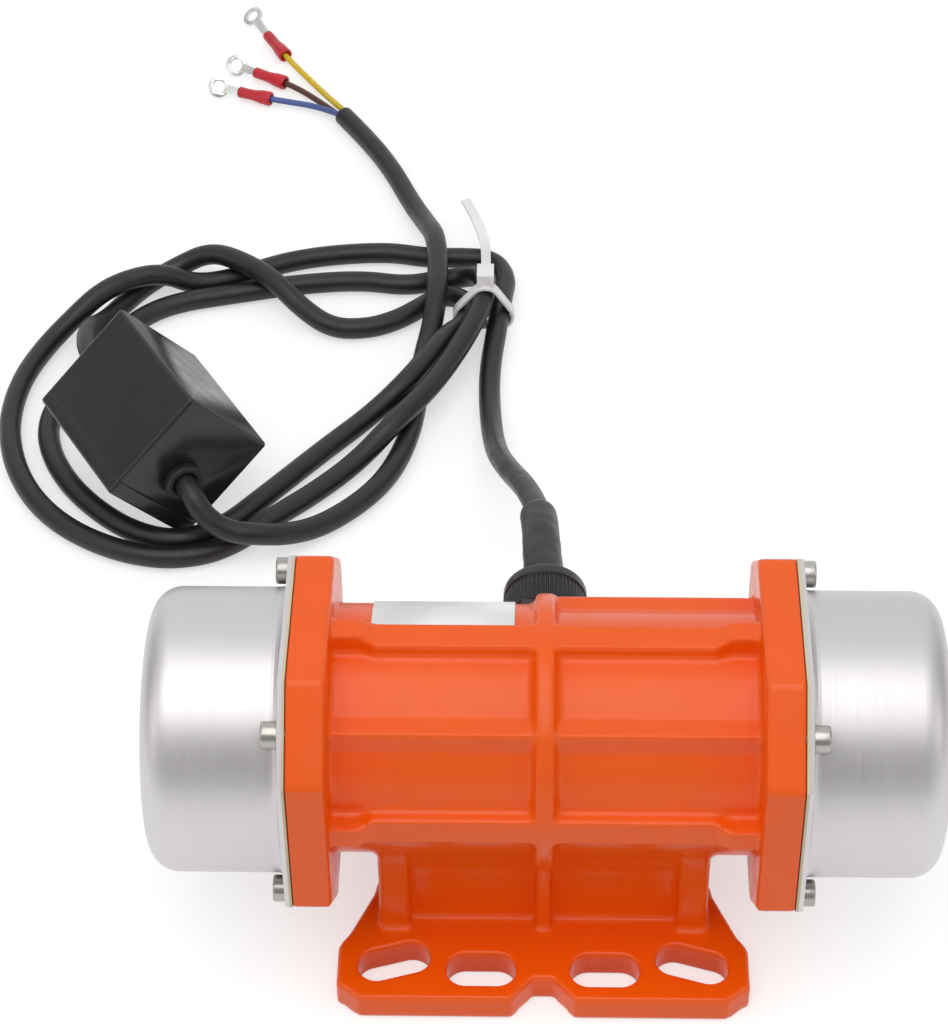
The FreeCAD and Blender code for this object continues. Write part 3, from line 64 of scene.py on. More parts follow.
# The runs of the leads and of their cores, in millimetres
MOTOR_LEAD = [
    (0, 52, 72), (-1, 96, 71), (-5.5, 127, 57), (-13.5, 162, 35.5), (-18.5, 196, 14), (-21, 226, 4.2),
    (-21.8, 252, 4.2), (-19.2, 276, 5.9), (-17.5, 294, 5.9), (-15.5, 311, 4.2), (-21.5, 323, 4.2),
    (-34, 324, 4.2), (-47, 323.5, 4.2), (-66, 328, 4.2), (-101, 323, 4.2), (-126, 309.5, 4.2),
    (-141, 305, 4.8), (-152, 303, 12), (-164, 299, 13.2), (-176, 290, 13.2), (-187, 279.5, 7.5),
    (-196.5, 266, 4.2), (-203, 247, 4.2), (-205, 226, 4.2), (-202.5, 207, 4.2), (-196, 188.5, 4.2),
    (-186, 172.5, 4.2), (-172, 159.5, 4.2), (-154, 150, 4.2), (-135.5, 146.5, 4.2),
    (-117, 151.5, 4.2), (-100.5, 168.5, 4.2), (-84, 184, 4.2), (-69.5, 200.5, 5), (-57, 212.5, 12.9),
    (-44.5, 232, 12.8), (-35.5, 251, 13.2), (-28, 270, 14.6), (-23.7, 286, 14.6), (-24.5, 301, 13.4),
    (-31, 310, 5.5), (-43, 309.3, 4.2), (-56, 305.5, 4.2), (-74, 309, 4.2), (-98, 306.5, 4.2),
    (-124, 300.2, 4.2), (-147, 294.4, 4.2), (-160, 285.5, 4.2), (-169, 272, 4.2), (-177.5, 256, 4.2),
    (-185.5, 239, 4.2), (-190, 221, 4.2), (-187, 204.5, 4.2), (-178.5, 187.5, 4.2),
    (-166, 172.5, 4.2), (-151, 160.5, 4.2), (-134.5, 155.6, 4.2), (-118.5, 162.5, 4.2),
    (-103.5, 181, 4.2), (-83, 207, 4.2), (-66, 225.5, 5.5), (-53, 236.5, 12.8), (-45.5, 251, 12.8),
    (-38.5, 267, 11), (-31.8, 279.5, 5.9), (-30.2, 289, 5.9), (-31.7, 295.1, 4.8), (-36.3, 299, 4.2),
    (-42.4, 299, 4.2), (-49, 292.5, 4.2), (-58.5, 284, 4.2), (-70, 278.5, 4.2), (-84.5, 278.5, 4.2),
    (-97, 287.5, 7.5), (-107.5, 297.5, 12.9), (-121, 309.5, 13), (-135, 317.5, 12), (-149, 315.5, 5.5),
    (-160.5, 305.5, 4.2), (-168.5, 293, 4.2), (-174, 280, 6), (-178.5, 266, 13.8), (-177.5, 252, 17),
    (-172.8, 240, 19.3), (-165.9, 229.4, 19.8), (-156.5, 214.1, 19.8)]
SUPPLY_LEAD = [
    (-133.9, 166.9, 28.5), (-128.2, 157.5, 28.5), (-124, 151.8, 22.2), (-115.5, 149.5, 15.5),
    (-104, 150.5, 13), (-93.5, 156, 8), (-82.5, 164, 4.5), (-70, 175.5, 4.2), (-60, 189, 4.2),
    (-53.5, 206, 4.2), (-50, 225, 4.2), (-49, 245, 4.2), (-47.5, 262, 4.2), (-44.5, 276, 8),
    (-43, 288, 13.2), (-43, 307, 13.2), (-44.5, 327, 13.2), (-49, 343, 7), (-56, 361, 4.2),
    (-64, 382, 4.2), (-75, 403.5, 4.2), (-87, 422, 4.2)]
CORES = {
    "earth": [(-85.97, 423.2, 5.1), (-91, 431.5, 3.6), (-99, 444.3, 2.4), (-110.6, 461.6, 2.6),
              (-115, 468.1, 3.3), (-120.5, 477.3, 3.4)],
    "line": [(-87.24, 422.4, 2.4), (-94.5, 431, 2.2), (-102.2, 439.1, 2.2), (-107.6, 443.8, 2.5),
             (-113.8, 447.6, 3.2), (-120.8, 451.6, 3.2)],
    "neutral": [(-88.5, 421.55, 5.1), (-95.4, 427.6, 3.6), (-103.6, 432.4, 2.5),
                (-111.5, 434.4, 2.5), (-119.2, 435.5, 3.2), (-126.5, 438.2, 3.2)],
}

# Each slot's place across and along the foot, its length, its width and its turn in degrees
FOOT_SLOTS = [(sx * 19.5, sy * 44.6, 22.0, 12.5, 0) for sx in (1, -1) for sy in (1, -1)]
FOOT_SLOTS += [(sx * 47.0, sy * 41.6, 23.3, 12.0, sx * sy * 17.0) for sx in (1, -1) for sy in (1, -1)]

# Both ends of each crimp sleeve, from the core to the ring, in millimetres
SLEEVES = {
    "earth": ((-115, 468.1, 3.3), (-124.3, 484, 3.6)),
    "line": ((-113.8, 447.6, 3.2), (-127.7, 455.6, 3.3)),
    "neutral": ((-119.2, 435.5, 3.2), (-133.6, 440.7, 3.3)),
}

# The material slot of each finished piece
DRESSED = {}


# ---------------------------------------------------------------------------
# Small tools
# ---------------------------------------------------------------------------
def deselect():
    bpy.ops.object.select_all(action="DESELECT")


def activate(piece):
    """Make a piece the only one selected, and the active one."""
    deselect()
    piece.select_set(True)
    bpy.context.view_layer.objects.active = piece
    return piece


def added(name, data):
    """A new object in the scene."""
    piece = bpy.data.objects.new(name, data)
    bpy.context.scene.collection.objects.link(piece)
    return piece


def centred(piece):
    """Leave a finished piece at the origin, unturned, with its place in its mesh."""
    activate(piece)
    bpy.ops.object.transform_apply(location=True, rotation=True, scale=True)
    return piece


def keep(piece, name, body, slot, *nodes):
    """Name a finished piece, join it to its body and let it stand for its CAD nodes."""
    DRESSED[name] = slot
    piece.name = name
    piece.data.name = name
    centred(piece)
    if nodes:
        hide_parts(*nodes)
    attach(piece, body)
    return piece


def modified(piece, kind, **settings):
    """Add a modifier, set it and apply it."""
    activate(piece)
    made = piece.modifiers.new(kind.lower(), kind)
    for key, value in settings.items():
        setattr(made, key, value)
    bpy.ops.object.modifier_apply(modifier=made.name)
    return piece


def smoothed(piece, degrees):
    """Shade a piece smooth, apart from edges sharper than an angle."""
    activate(piece)
    bpy.ops.object.shade_smooth_by_angle(angle=math.radians(degrees))
    return piece


def copied(node, name):
    """A copy of a CAD node whose loose triangles are merged into whole faces."""
    piece = activate(added(name, frame["nodes"][node].data.copy()))
    bpy.ops.object.mode_set(mode="EDIT")
    bpy.ops.mesh.select_all(action="SELECT")
    bpy.ops.mesh.remove_doubles(threshold=MERGE_GAP)
    bpy.ops.mesh.dissolve_limited(angle_limit=math.radians(0.6))
    bpy.ops.object.mode_set(mode="OBJECT")
    return piece


def eased(node, name, width, segments=3, angle=30):
    """A copy of a CAD node with its sharp edges rounded."""
    piece = copied(node, name)
    modified(piece, "BEVEL", width=width, segments=segments, limit_method="ANGLE",
             angle_limit=math.radians(angle), use_clamp_overlap=True)
    return smoothed(piece, 38)


def turned(name, start, heading, profile, count=48, hollow=False):
    """Rings set out along a straight axis and joined; each step is (distance, radius) in metres.

    A hollow shape ends on the step it began with, and a full one ends in a flat face.
    """
    start, heading = Vector(start), Vector(heading).normalized()
    deselect()
    bpy.ops.mesh.primitive_circle_add(vertices=count, radius=profile[0][1],
                                      fill_type="NOTHING" if hollow else "NGON",
                                      location=start + heading * profile[0][0],
                                      rotation=heading.to_track_quat("Z", "Y").to_euler())
    piece = bpy.context.object
    piece.name = name
    bpy.ops.object.mode_set(mode="EDIT")
    bpy.ops.mesh.select_all(action="SELECT")
    for (near, wide), (far, slim) in zip(profile, profile[1:]):
        bpy.ops.mesh.extrude_region_move(TRANSFORM_OT_translate={"value": heading * (far - near)})
        bpy.ops.transform.resize(value=(slim / wide,) * 3, center_override=start + heading * far)
    bpy.ops.mesh.select_all(action="SELECT")
    bpy.ops.mesh.remove_doubles(threshold=MERGE_GAP)
    bpy.ops.mesh.normals_make_consistent(inside=False)
    bpy.ops.object.mode_set(mode="OBJECT")
    return centred(piece)


def joined(name, pieces):
    """Several meshes made one."""
    activate(pieces[0])
    for piece in pieces[1:]:
        piece.select_set(True)
    bpy.ops.object.join()
    pieces[0].name = name
    return pieces[0]


def twin(piece, matrix):
    """A copy with its own mesh, moved by a matrix; a mirrored one is turned right side out."""
    copy = added(piece.name, piece.data.copy())
    copy.data.transform(matrix)
    if matrix.determinant() < 0:
        copy.data.flip_normals()
    return copy


def round_curve(name, radius, smoothness):
    """An empty curve with a round section and closed ends."""
    curve = bpy.data.curves.new(name, "CURVE")
    curve.dimensions = "3D"
    curve.bevel_depth = radius
    curve.bevel_resolution = smoothness
    curve.use_fill_caps = True
    return curve


def cord_curve(name, points, radius):
    """A round cord laid along its run."""
    curve = round_curve(name, radius, 7)
    spline = curve.splines.new("NURBS")
    spline.points.add(len(points) - 1)
    for knot, point in zip(spline.points, points):
        knot.co = (*[c * MM for c in point], 1)
    spline.order_u = 3
    spline.use_endpoint_u = True
    spline.resolution_u = 8
    return added(name, curve)


def centreline(points):
    """Points along a cord's own spline, in metres."""
    line = cord_curve("centreline", points, 0)
    mesh = bpy.data.meshes.new_from_object(line)
    spots = [vertex.co.copy() for vertex in mesh.vertices]
    bpy.data.objects.remove(line)
    bpy.data.meshes.remove(mesh)
    return spots


def run_length(points):
    """How long a cord is along its own spline."""
    spots = centreline(points)
    return sum((b - a).length for a, b in zip(spots, spots[1:]))


# ---------------------------------------------------------------------------
# Finishes
# ---------------------------------------------------------------------------
def add_node(tree, kind, inputs=None, **settings):
    """A new shader node whose inputs are numbers, colours or other nodes' outputs."""
    made = tree.nodes.new(kind)
    for key, value in settings.items():
        setattr(made, key, value)
    for key, value in (inputs or {}).items():
        if isinstance(value, bpy.types.NodeSocket):
            tree.links.new(value, made.inputs[key])
        else:
            made.inputs[key].default_value = value
    return made


def seen_plainly(tree):
    """1 for rays that come from the camera, off a glossy surface or through a clear one."""
    paths = add_node(tree, "ShaderNodeLightPath")
    seen = paths.outputs["Is Camera Ray"]
    for kind in ("Is Glossy Ray", "Is Transmission Ray"):
        seen = add_node(tree, "ShaderNodeMath", {0: seen, 1: paths.outputs[kind]},
                        operation="MAXIMUM").outputs[0]
    return seen


def fade(tree, factor, low, high, start, stop):
    """Blend two colours over part of a factor's range."""
    made = add_node(tree, "ShaderNodeValToRGB", {"Fac": factor})
    for mark, place, colour in zip(made.color_ramp.elements, (start, stop), (low, high)):
        mark.position = place
        mark.color = (*colour, 1)
    return made.outputs["Color"]


class Shader:
    """A material under construction."""

    def __init__(self, name):
        self.material = bpy.data.materials.new(name)
        self.material.use_nodes = True
        self.tree = self.material.node_tree
        self.surface = self.tree.nodes["Principled BSDF"]
        self.place = self.tree.nodes.new("ShaderNodeTexCoord")

    def node(self, kind, inputs=None, **settings):
        return add_node(self.tree, kind, inputs, **settings)

    def set(self, **values):
        for key, value in values.items():
            socket = self.surface.inputs[key.replace("_", " ")]
            if isinstance(value, bpy.types.NodeSocket):
                self.tree.links.new(value, socket)
            else:
                socket.default_value = value
        return self

    def noise(self, scale, detail=3.0, roughness=0.5, stretch=None):
        where = self.place.outputs["Object"]
        if stretch:
            where = self.node("ShaderNodeMapping", {"Vector": where, "Scale": stretch}).outputs[0]
        return self.node("ShaderNodeTexNoise", {"Vector": where, "Scale": scale, "Detail": detail,
                                                "Roughness": roughness}).outputs["Fac"]

    def ramp(self, factor, low, high, start=0.35, stop=0.65):
        """Blend two colours, or two greys, over part of a factor's range."""
        low, high = (end if isinstance(end, tuple) else (end, end, end) for end in (low, high))
        return fade(self.tree, factor, low, high, start, stop)

    def bump(self, height, strength, distance, below=None):
        inputs = {"Height": height, "Strength": strength, "Distance": distance}
        if below:
            inputs["Normal"] = below
        return self.node("ShaderNodeBump", inputs).outputs["Normal"]

    def soft_edges(self, radius):
        return self.node("ShaderNodeBevel", {"Radius": radius}, samples=6).outputs["Normal"]


def shade(colour, amount):
    """A lighter or darker form of a colour."""
    return tuple(max(0.0, min(1.0, c * amount)) for c in colour)


def casting_paint(look):
    """Orange paint over a casting, with faint patches, grain and swell."""
    s = Shader("casting paint")
    colour = tuple(look.paint)
    patches = s.ramp(s.noise(7, 4, 0.55), shade(colour, 0.95), shade(colour, 1.03))
    grain = s.noise(420, 3, 0.6)
    swell = s.noise(55, 2, 0.5)
    s.set(Base_Color=patches, Roughness=s.ramp(s.noise(110, 4), 0.25, 0.33), Specular_IOR_Level=0.34,
          Coat_Weight=0.12, Coat_Roughness=0.2,
          Normal=s.bump(grain, 0.03, 0.0001, s.bump(swell, 0.02, 0.0003)))
    return s.material


def drawn_sheet(look):
    """Satin stainless sheet with faint rings left by drawing and brushing."""
    s = Shader("drawn cover sheet")
    colour = tuple(look.sheet)
    rings = s.noise(60, 3, 0.55, stretch=(22, 0.3, 0.3))
    clouds = s.noise(14, 3, 0.5)
    s.set(Base_Color=s.ramp(clouds, shade(colour, 0.96), shade(colour, 1.04)), Metallic=1.0,
          Roughness=s.ramp(rings, 0.40, 0.46, 0.3, 0.7),
          Normal=s.bump(rings, 0.03, 0.0001, s.bump(s.noise(900, 2), 0.02, 0.00005)))
    return s.material


def bare_metal(name, colour, roughness, grain=500, stretch=None, depth=0.08):
    """Bare or plated metal with fine grain."""
    s = Shader(name)
    mark = s.noise(grain, 4, 0.6, stretch)
    s.set(Base_Color=s.ramp(s.noise(40, 3), shade(colour, 0.88), shade(colour, 1.08)), Metallic=1.0,
          Roughness=s.ramp(mark, roughness * 0.8, roughness * 1.25),
          Normal=s.bump(mark, depth, 0.0002, s.soft_edges(0.0003)))
    return s.material


def moulded(name, colour, roughness, grain=900, depth=0.10, patch=0.12, edge=0.0003, coat=0.0):
    """Moulded plastic or rubber with a fine grain."""
    s = Shader(name)
    mark = s.noise(grain, 3, 0.6)
    s.set(Base_Color=s.ramp(s.noise(30, 4), shade(colour, 1 - patch), shade(colour, 1 + patch)),
          Roughness=s.ramp(s.noise(120, 4), roughness * 0.88, roughness * 1.12), Coat_Weight=coat,
          Normal=s.bump(mark, depth, 0.0002, s.soft_edges(edge)))
    return s.material


class MotorLook(bpy.types.PropertyGroup):
    """Colours and sizes that a user may change."""
    paint: FloatVectorProperty(name="Casting paint", description="Paint on the cast housing",
                               subtype="COLOR", size=3, min=0, max=1, default=(0.88, 0.104, 0.0003))
    sheet: FloatVectorProperty(name="Cover sheet", description="Bare sheet of the end covers",
                               subtype="COLOR", size=3, min=0, max=1, default=(0.62, 0.60, 0.605))
    rubber: FloatVectorProperty(name="Lead rubber", description="Sheath of the leads",
                                subtype="COLOR", size=3, min=0, max=1, default=(0.010, 0.010, 0.011))
    casting_grid: FloatProperty(name="Casting grid", description="Size of the casting's faces",
                                default=0.0009, min=0.0005, unit="LENGTH")
    casting_softness: IntProperty(name="Casting softness",
                                  description="How far the casting's edges are rounded", default=4, min=0)
    foot_thickness: FloatProperty(name="Foot thickness", description="Thickness of the casting's foot",
                                  default=0.010, unit="LENGTH")
    screw_head: FloatProperty(name="Screw head", description="Width of a cover screw's head",
                              default=0.0085, unit="LENGTH")
    nut_rib: FloatProperty(name="Nut rib", description="Radius of a rib on the gland nut",
                           default=0.00045, unit="LENGTH")
    nut_ribs: IntProperty(name="Nut ribs", description="How many ribs the gland nut has", default=58, min=8)
    plate_corner: FloatProperty(name="Plate corner", description="Corner radius of the rating plate",
                                default=0.0016, unit="LENGTH")
    lead_diameter: FloatProperty(name="Lead diameter", description="Outside of the leads",
                                 default=0.0083, unit="LENGTH")
    core_diameter: FloatProperty(name="Core diameter", description="Outside of a single core",
                                 default=0.0026, unit="LENGTH")


class MotorStage(bpy.types.PropertyGroup):
    """The view and the light."""
    view_place: FloatVectorProperty(name="Camera place", description="Where the camera stands",
                                    subtype="TRANSLATION", size=3, unit="LENGTH",
                                    default=(-0.0028123, -0.6420156, 0.7639606))
    view_turn: FloatVectorProperty(name="Camera turn", description="Heading, tilt and roll of the camera",
                                   size=3, subtype="EULER",
                                   default=(math.radians(1.6363), math.radians(47.0095),
                                            math.radians(-0.7406)))
    lens: FloatProperty(name="Lens", description="Focal length in millimetres", default=106.08, min=1)
    sky: FloatProperty(name="Sky light", description="Strength of the even light", default=0.63, min=0)
    key: FloatProperty(name="Key light", description="Power of the large overhead lamp", default=5.4,
                       min=0)


# ---------------------------------------------------------------------------
# Operators
# ---------------------------------------------------------------------------
class MOTOR_OT_stage(bpy.types.Operator):
    """Set the floor, the camera and the lights"""
    bl_idname = "motor.stage"
    bl_label = "Stage"

    def execute(self, context):
        stage = context.scene.motor_stage
        heading, tilt, roll = stage.view_turn
        camera = added("camera", bpy.data.cameras.new("camera"))
        camera.data.lens = stage.lens
        camera.data.sensor_width = 36
        camera.data.clip_start = 0.01
        camera.matrix_world = (Matrix.Translation(Vector(stage.view_place))
                               @ Matrix.Rotation(heading, 4, "Z") @ Matrix.Rotation(tilt, 4, "X")
                               @ Matrix.Rotation(roll, 4, "Z"))
        context.scene.camera = camera
        context.scene.view_settings.view_transform = "Standard"
        self.floor()
        self.room(context, stage)
        self.lamps(stage)
        return {"FINISHED"}

    def floor(self):
        """A pale floor that shows white and keeps the motor's shadow."""
        deselect()
        bpy.ops.mesh.primitive_plane_add(size=6, location=(0, 0.2, -0.0002))
        floor = bpy.context.object
        floor.name = "floor"
        s = Shader("pale floor")
        s.set(Base_Color=(0.6, 0.6, 0.6, 1), Roughness=0.9, Specular_IOR_Level=0.1)
        glow = s.node("ShaderNodeEmission", {"Color": (1, 1, 1, 1), "Strength": 0.54})
        both = s.node("ShaderNodeAddShader", {0: s.surface.outputs[0], 1: glow.outputs[0]})
        blend = s.node("ShaderNodeMixShader", {0: seen_plainly(s.tree), 1: s.surface.outputs[0],
                                               2: both.outputs[0]})
        s.tree.links.new(blend.outputs[0], s.tree.nodes["Material Output"].inputs["Surface"])
        floor.data.materials.append(s.material)

    def room(self, context, stage):
        """Even light, and white walls that darken in front and at both sides in reflections."""
        world = bpy.data.worlds.new("studio")
        world.use_nodes = True
        tree = world.node_tree
        even = tree.nodes["Background"]
        even.inputs["Color"].default_value = (1, 1, 1, 1)
        even.inputs["Strength"].default_value = stage.sky
        way = add_node(tree, "ShaderNodeTexCoord").outputs["Generated"]
        ahead = add_node(tree, "ShaderNodeVectorMath", {0: way, 1: (0, -0.97, 0.25)},
                         operation="DOT_PRODUCT")
        aside = add_node(tree, "ShaderNodeVectorMath", {0: way, 1: (1, 0, 0)}, operation="DOT_PRODUCT")
        aside = add_node(tree, "ShaderNodeMath", {0: aside.outputs["Value"]}, operation="ABSOLUTE")
        front = fade(tree, ahead.outputs["Value"], (1, 1, 1), (0.42, 0.41, 0.41), 0.62, 0.93)
        sides = fade(tree, aside.outputs[0], (1, 1, 1), (0.48, 0.47, 0.47), 0.45, 0.9)
        walls = add_node(tree, "ShaderNodeVectorMath", {0: front, 1: sides}, operation="MULTIPLY")
        white = add_node(tree, "ShaderNodeBackground", {"Color": walls.outputs[0], "Strength": 1.0})
        mix = add_node(tree, "ShaderNodeMixShader", {0: seen_plainly(tree), 1: even.outputs[0],
                                                     2: white.outputs[0]})
        tree.links.new(mix.outputs[0], tree.nodes["World Output"].inputs["Surface"])
        context.scene.world = world

    def lamps(self, stage):
        """A large lamp overhead and a weak one at each side."""
        weak = stage.key * 0.2
        for name, power, size, place, aim in (
                ("key lamp", stage.key, 1.12, (-0.1, -0.3, 1.2), (0, 0.05, 0.05)),
                ("left lamp", weak, 0.6, (-1.1, -0.35, 0.6), (0, 0, 0.06)),
                ("right lamp", weak, 0.6, (1.1, -0.35, 0.6), (0, 0, 0.06))):
            lamp = bpy.data.lights.new(name, "AREA")
            lamp.energy = power
            lamp.size = size
            lit = added(name, lamp)
            lit.location = place
            lit.rotation_euler = (Vector(aim) - Vector(place)).to_track_quat("-Z", "Y").to_euler()


class MOTOR_OT_leads(bpy.types.Operator):
    """Lay both leads and the three cores"""
    bl_idname = "motor.leads"
    bl_label = "Leads"

    def execute(self, context):
        look = context.scene.motor_look
        rubber = moulded("lead rubber", tuple(look.rubber), 0.42, grain=1500, depth=0.12)
        for name, points in (("motor_lead", MOTOR_LEAD), ("supply_lead", SUPPLY_LEAD)):
            piece = cord_curve(name + "_sheath", points, look.lead_diameter / 2)
            piece.data.materials.append(rubber)
            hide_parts(name)
            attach(piece, HOUSING)
        for name, colour in (("earth", (0.72, 0.50, 0.01)), ("line", (0.09, 0.03, 0.02)),
                             ("neutral", (0.07, 0.11, 0.34))):
            piece = cord_curve(name + "_insulation", CORES[name], look.core_diameter / 2)
            piece.data.materials.append(moulded(name + " insulation", colour, 0.35))
            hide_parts(name + "_core")
            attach(piece, HOUSING)
        run_length(MOTOR_LEAD)
        run_length(SUPPLY_LEAD)
        for name in CORES:
            run_length(CORES[name])
        return {"FINISHED"}


class MOTOR_OT_casting(bpy.types.Operator):
    """Shape the cast housing with its soft edges and filled corners"""
    bl_idname = "motor.casting"
    bl_label = "Casting"

    def execute(self, context):
        look = context.scene.motor_look
        piece = copied("motor_housing", "cast_housing")
        foot = look.foot_thickness
        plugs = [self.oval(place, [(0, 0.0003), (foot, 0.0003)]) for place in FOOT_SLOTS]
        piece = joined("cast_housing", [piece] + plugs)
        modified(piece, "REMESH", mode="VOXEL", voxel_size=look.casting_grid)
        modified(piece, "SMOOTH", factor=0.5, iterations=look.casting_softness)
        modified(piece, "DECIMATE", ratio=min(1.0, CASTING_FACES / len(piece.data.polygons)))
        # Heights and extra radii of a cutter that rounds a slot's rim over at both ends
        lip = [(-0.002, 0.0010), (-0.0001, 0.0010), (0.0001, 0.0005), (0.0005, 0.0001), (0.0009, 0),
               (foot - 0.0012, 0), (foot - 0.0006, 0.00015), (foot - 0.0002, 0.0005),
               (foot + 0.0001, 0.0012), (foot + 0.002, 0.0012)]
        for place in FOOT_SLOTS:
            cutter = self.oval(place, lip)
            modified(piece, "BOOLEAN", object=cutter, operation="DIFFERENCE", solver="EXACT")
            bpy.data.objects.remove(cutter)
        smoothed(piece, 55)
        modified(piece, "WEIGHTED_NORMAL", mode="FACE_AREA", weight=50, keep_sharp=True)
        keep(piece, "cast_housing", HOUSING, "orange_casting", "motor_housing")
        return {"FINISHED"}

    def oval(self, place, rings):
        """A closed block in the shape of a foot slot; each ring is (height, extra radius)."""
        x, y, long, wide, angle = place
        radius, half = wide * MM / 2, (long - wide) * MM / 2
        corners = 48
        block = turned("slot_block", (0, 0, 0), (0, 0, 1),
                       [(height, radius + extra) for height, extra in rings], corners)
        block.data.transform(Matrix.Rotation(math.pi / corners, 4, "Z"))
        for vertex in block.data.vertices:
            vertex.co.x += half if vertex.co.x > 0 else -half
        block.data.transform(Matrix.Translation((x * MM, y * MM, 0))
                             @ Matrix.Rotation(math.radians(angle), 4, "Z"))
        return block


class MOTOR_OT_screws(bpy.types.Operator):
    """Set the socket screws that hold both covers"""
    bl_idname = "motor.screws"
    bl_label = "Cover screws"

    def execute(self, context):
        look = context.scene.motor_look
        low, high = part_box("right_cover_screws")
        head = look.screw_head / 2
        reach = high[1] - head
        tip = high[0]
        inner = low[0] + 0.0002
        seat = tip - look.screw_head / 1.7
        shank = look.screw_head / 3.4
        screw = turned("cover_screw", (0, 0, 0), (1, 0, 0),
                       [(inner, shank - 0.0006), (inner + 0.0006, shank), (seat - 0.0001, shank),
                        (seat, head * 0.985), (seat + 0.0003, head), (tip - 0.0007, head),
                        (tip - 0.0003, head * 0.975), (tip - 0.00008, head * 0.93), (tip, head * 0.86)], 40)
        deselect()
        bpy.ops.mesh.primitive_cylinder_add(vertices=6, radius=0.92 * shank, depth=2 * shank,
                                            location=(tip, 0, 0), rotation=(0, math.pi / 2, 0))
        key = bpy.context.object
        modified(screw, "BOOLEAN", object=key, operation="DIFFERENCE", solver="EXACT")
        bpy.data.objects.remove(key)
        smoothed(screw, 32)
        for side, flip in (("right", 1), ("left", -1)):
            made = []
            for index, (across, up) in enumerate(((1, 1), (1, -1), (-1, 1), (-1, -1))):
                place = Matrix.Translation((0, across * reach, SHAFT_HEIGHT + up * reach))
                # Each socket stands at its own angle
                turn = Matrix.Rotation(0.4 + 1.3 * index, 4, "X")
                made.append(twin(screw, Matrix.Scale(flip, 4, (1, 0, 0)) @ place @ turn))
            name = side + "_cover_screw_set"
            keep(joined(name, made), name, HOUSING, "screw_steel", side + "_cover_screws")
        bpy.data.objects.remove(screw)
        return {"FINISHED"}


class MOTOR_OT_gland(bpy.types.Operator):
    """Shape the ribbed gland nut and the shrunk sleeve behind it"""
    bl_idname = "motor.gland"
    bl_label = "Cable gland"

    def execute(self, context):
        look = context.scene.motor_look
        low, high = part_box("gland_nut")
        near, far = low[1], high[1]
        wide = (high[2] - low[2]) / 2
        axis = Vector((0, 0, SHAFT_HEIGHT))
        mouth = 0.0068
        root = wide - 0.0007
        nut = turned("gland_nut_ribbed", axis, (0, 1, 0),
                     [(near, wide - 0.0024), (near, wide - 0.0011), (near + 0.0004, root),
                      (far - 0.0047, root), (far - 0.0044, wide - 0.0003),
                      (far - 0.0042, wide), (far - 0.0014, wide), (far - 0.0007, wide - 0.0002),
                      (far - 0.0002, wide - 0.0007), (far, wide - 0.0014), (far, mouth + 0.0006),
                      (far - 0.0006, mouth), (far - 0.0042, mouth), (far - 0.0044, wide - 0.0026),
                      (near, wide - 0.0024)], 96, hollow=True)
        rib = turned("nut_rib", (0, 0, SHAFT_HEIGHT + root), (0, 1, 0),
                     [(near + 0.0005, 0.0002), (near + 0.0008, look.nut_rib),
                      (far - 0.0048, look.nut_rib), (far - 0.0043, 0.0002)], 10)
        ribs = []
        for index in range(look.nut_ribs):
            turn = Matrix.Rotation(math.tau * index / look.nut_ribs, 4, "Y")
            ribs.append(twin(rib, Matrix.Translation(axis) @ turn @ Matrix.Translation(-axis)))
        bpy.data.objects.remove(rib)
        nut = smoothed(joined("gland_nut_ribbed", [nut] + ribs), 40)
        keep(nut, "gland_nut_ribbed", HOUSING, "gland_black", "gland_nut")
        self.sleeve()
        return {"FINISHED"}

    def sleeve(self):
        """A shrunk sleeve that tapers along the lead and closes onto it at its end."""
        low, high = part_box("strain_sleeve")
        spots = [spot for spot in centreline(MOTOR_LEAD) if low[1] < spot.y < high[1] - 0.0035]
        spots.insert(0, Vector((0, low[1], spots[0].z)))
        run = [0.0]
        for before, after in zip(spots, spots[1:]):
            run.append(run[-1] + (after - before).length)
        radius, taper, end, closing = 0.0065, 0.0004, 0.003, 0.0017
        curve = round_curve("shrunk_sleeve", radius, 9)
        steps = 60
        spline = curve.splines.new("POLY")
        spline.points.add(steps)
        for step in range(steps + 1):
            reach = run[-1] * step / steps
            index = min(range(len(run) - 1), key=lambda i: abs((run[i] + run[i + 1]) / 2 - reach))
            part = (reach - run[index]) / max(run[index + 1] - run[index], 1e-9)
            spline.points[step].co = (*spots[index].lerp(spots[index + 1], part), 1)
            left = run[-1] - reach
            wide = radius + 0.00015 - taper * step / steps
            if left < end:
                wide -= closing * (1 - left / end) ** 2
            spline.points[step].radius = wide / radius
        activate(added("shrunk_sleeve", curve))
        bpy.ops.object.convert(target="MESH")
        piece = bpy.context.object
        modified(smoothed(piece, 60), "WELD", merge_threshold=MERGE_GAP)
        self.crease(piece)
        keep(piece, "shrunk_sleeve", HOUSING, "sleeve_shrink", "strain_sleeve")

    def crease(self, piece):
        """Slight flats and dents where the sleeve shrank unevenly."""
        texture = bpy.data.textures.new("sleeve dents", "CLOUDS")
        texture.noise_scale = 0.009
        modified(piece, "DISPLACE", texture=texture, strength=0.0008, mid_level=0.5,
                 texture_coords="GLOBAL")


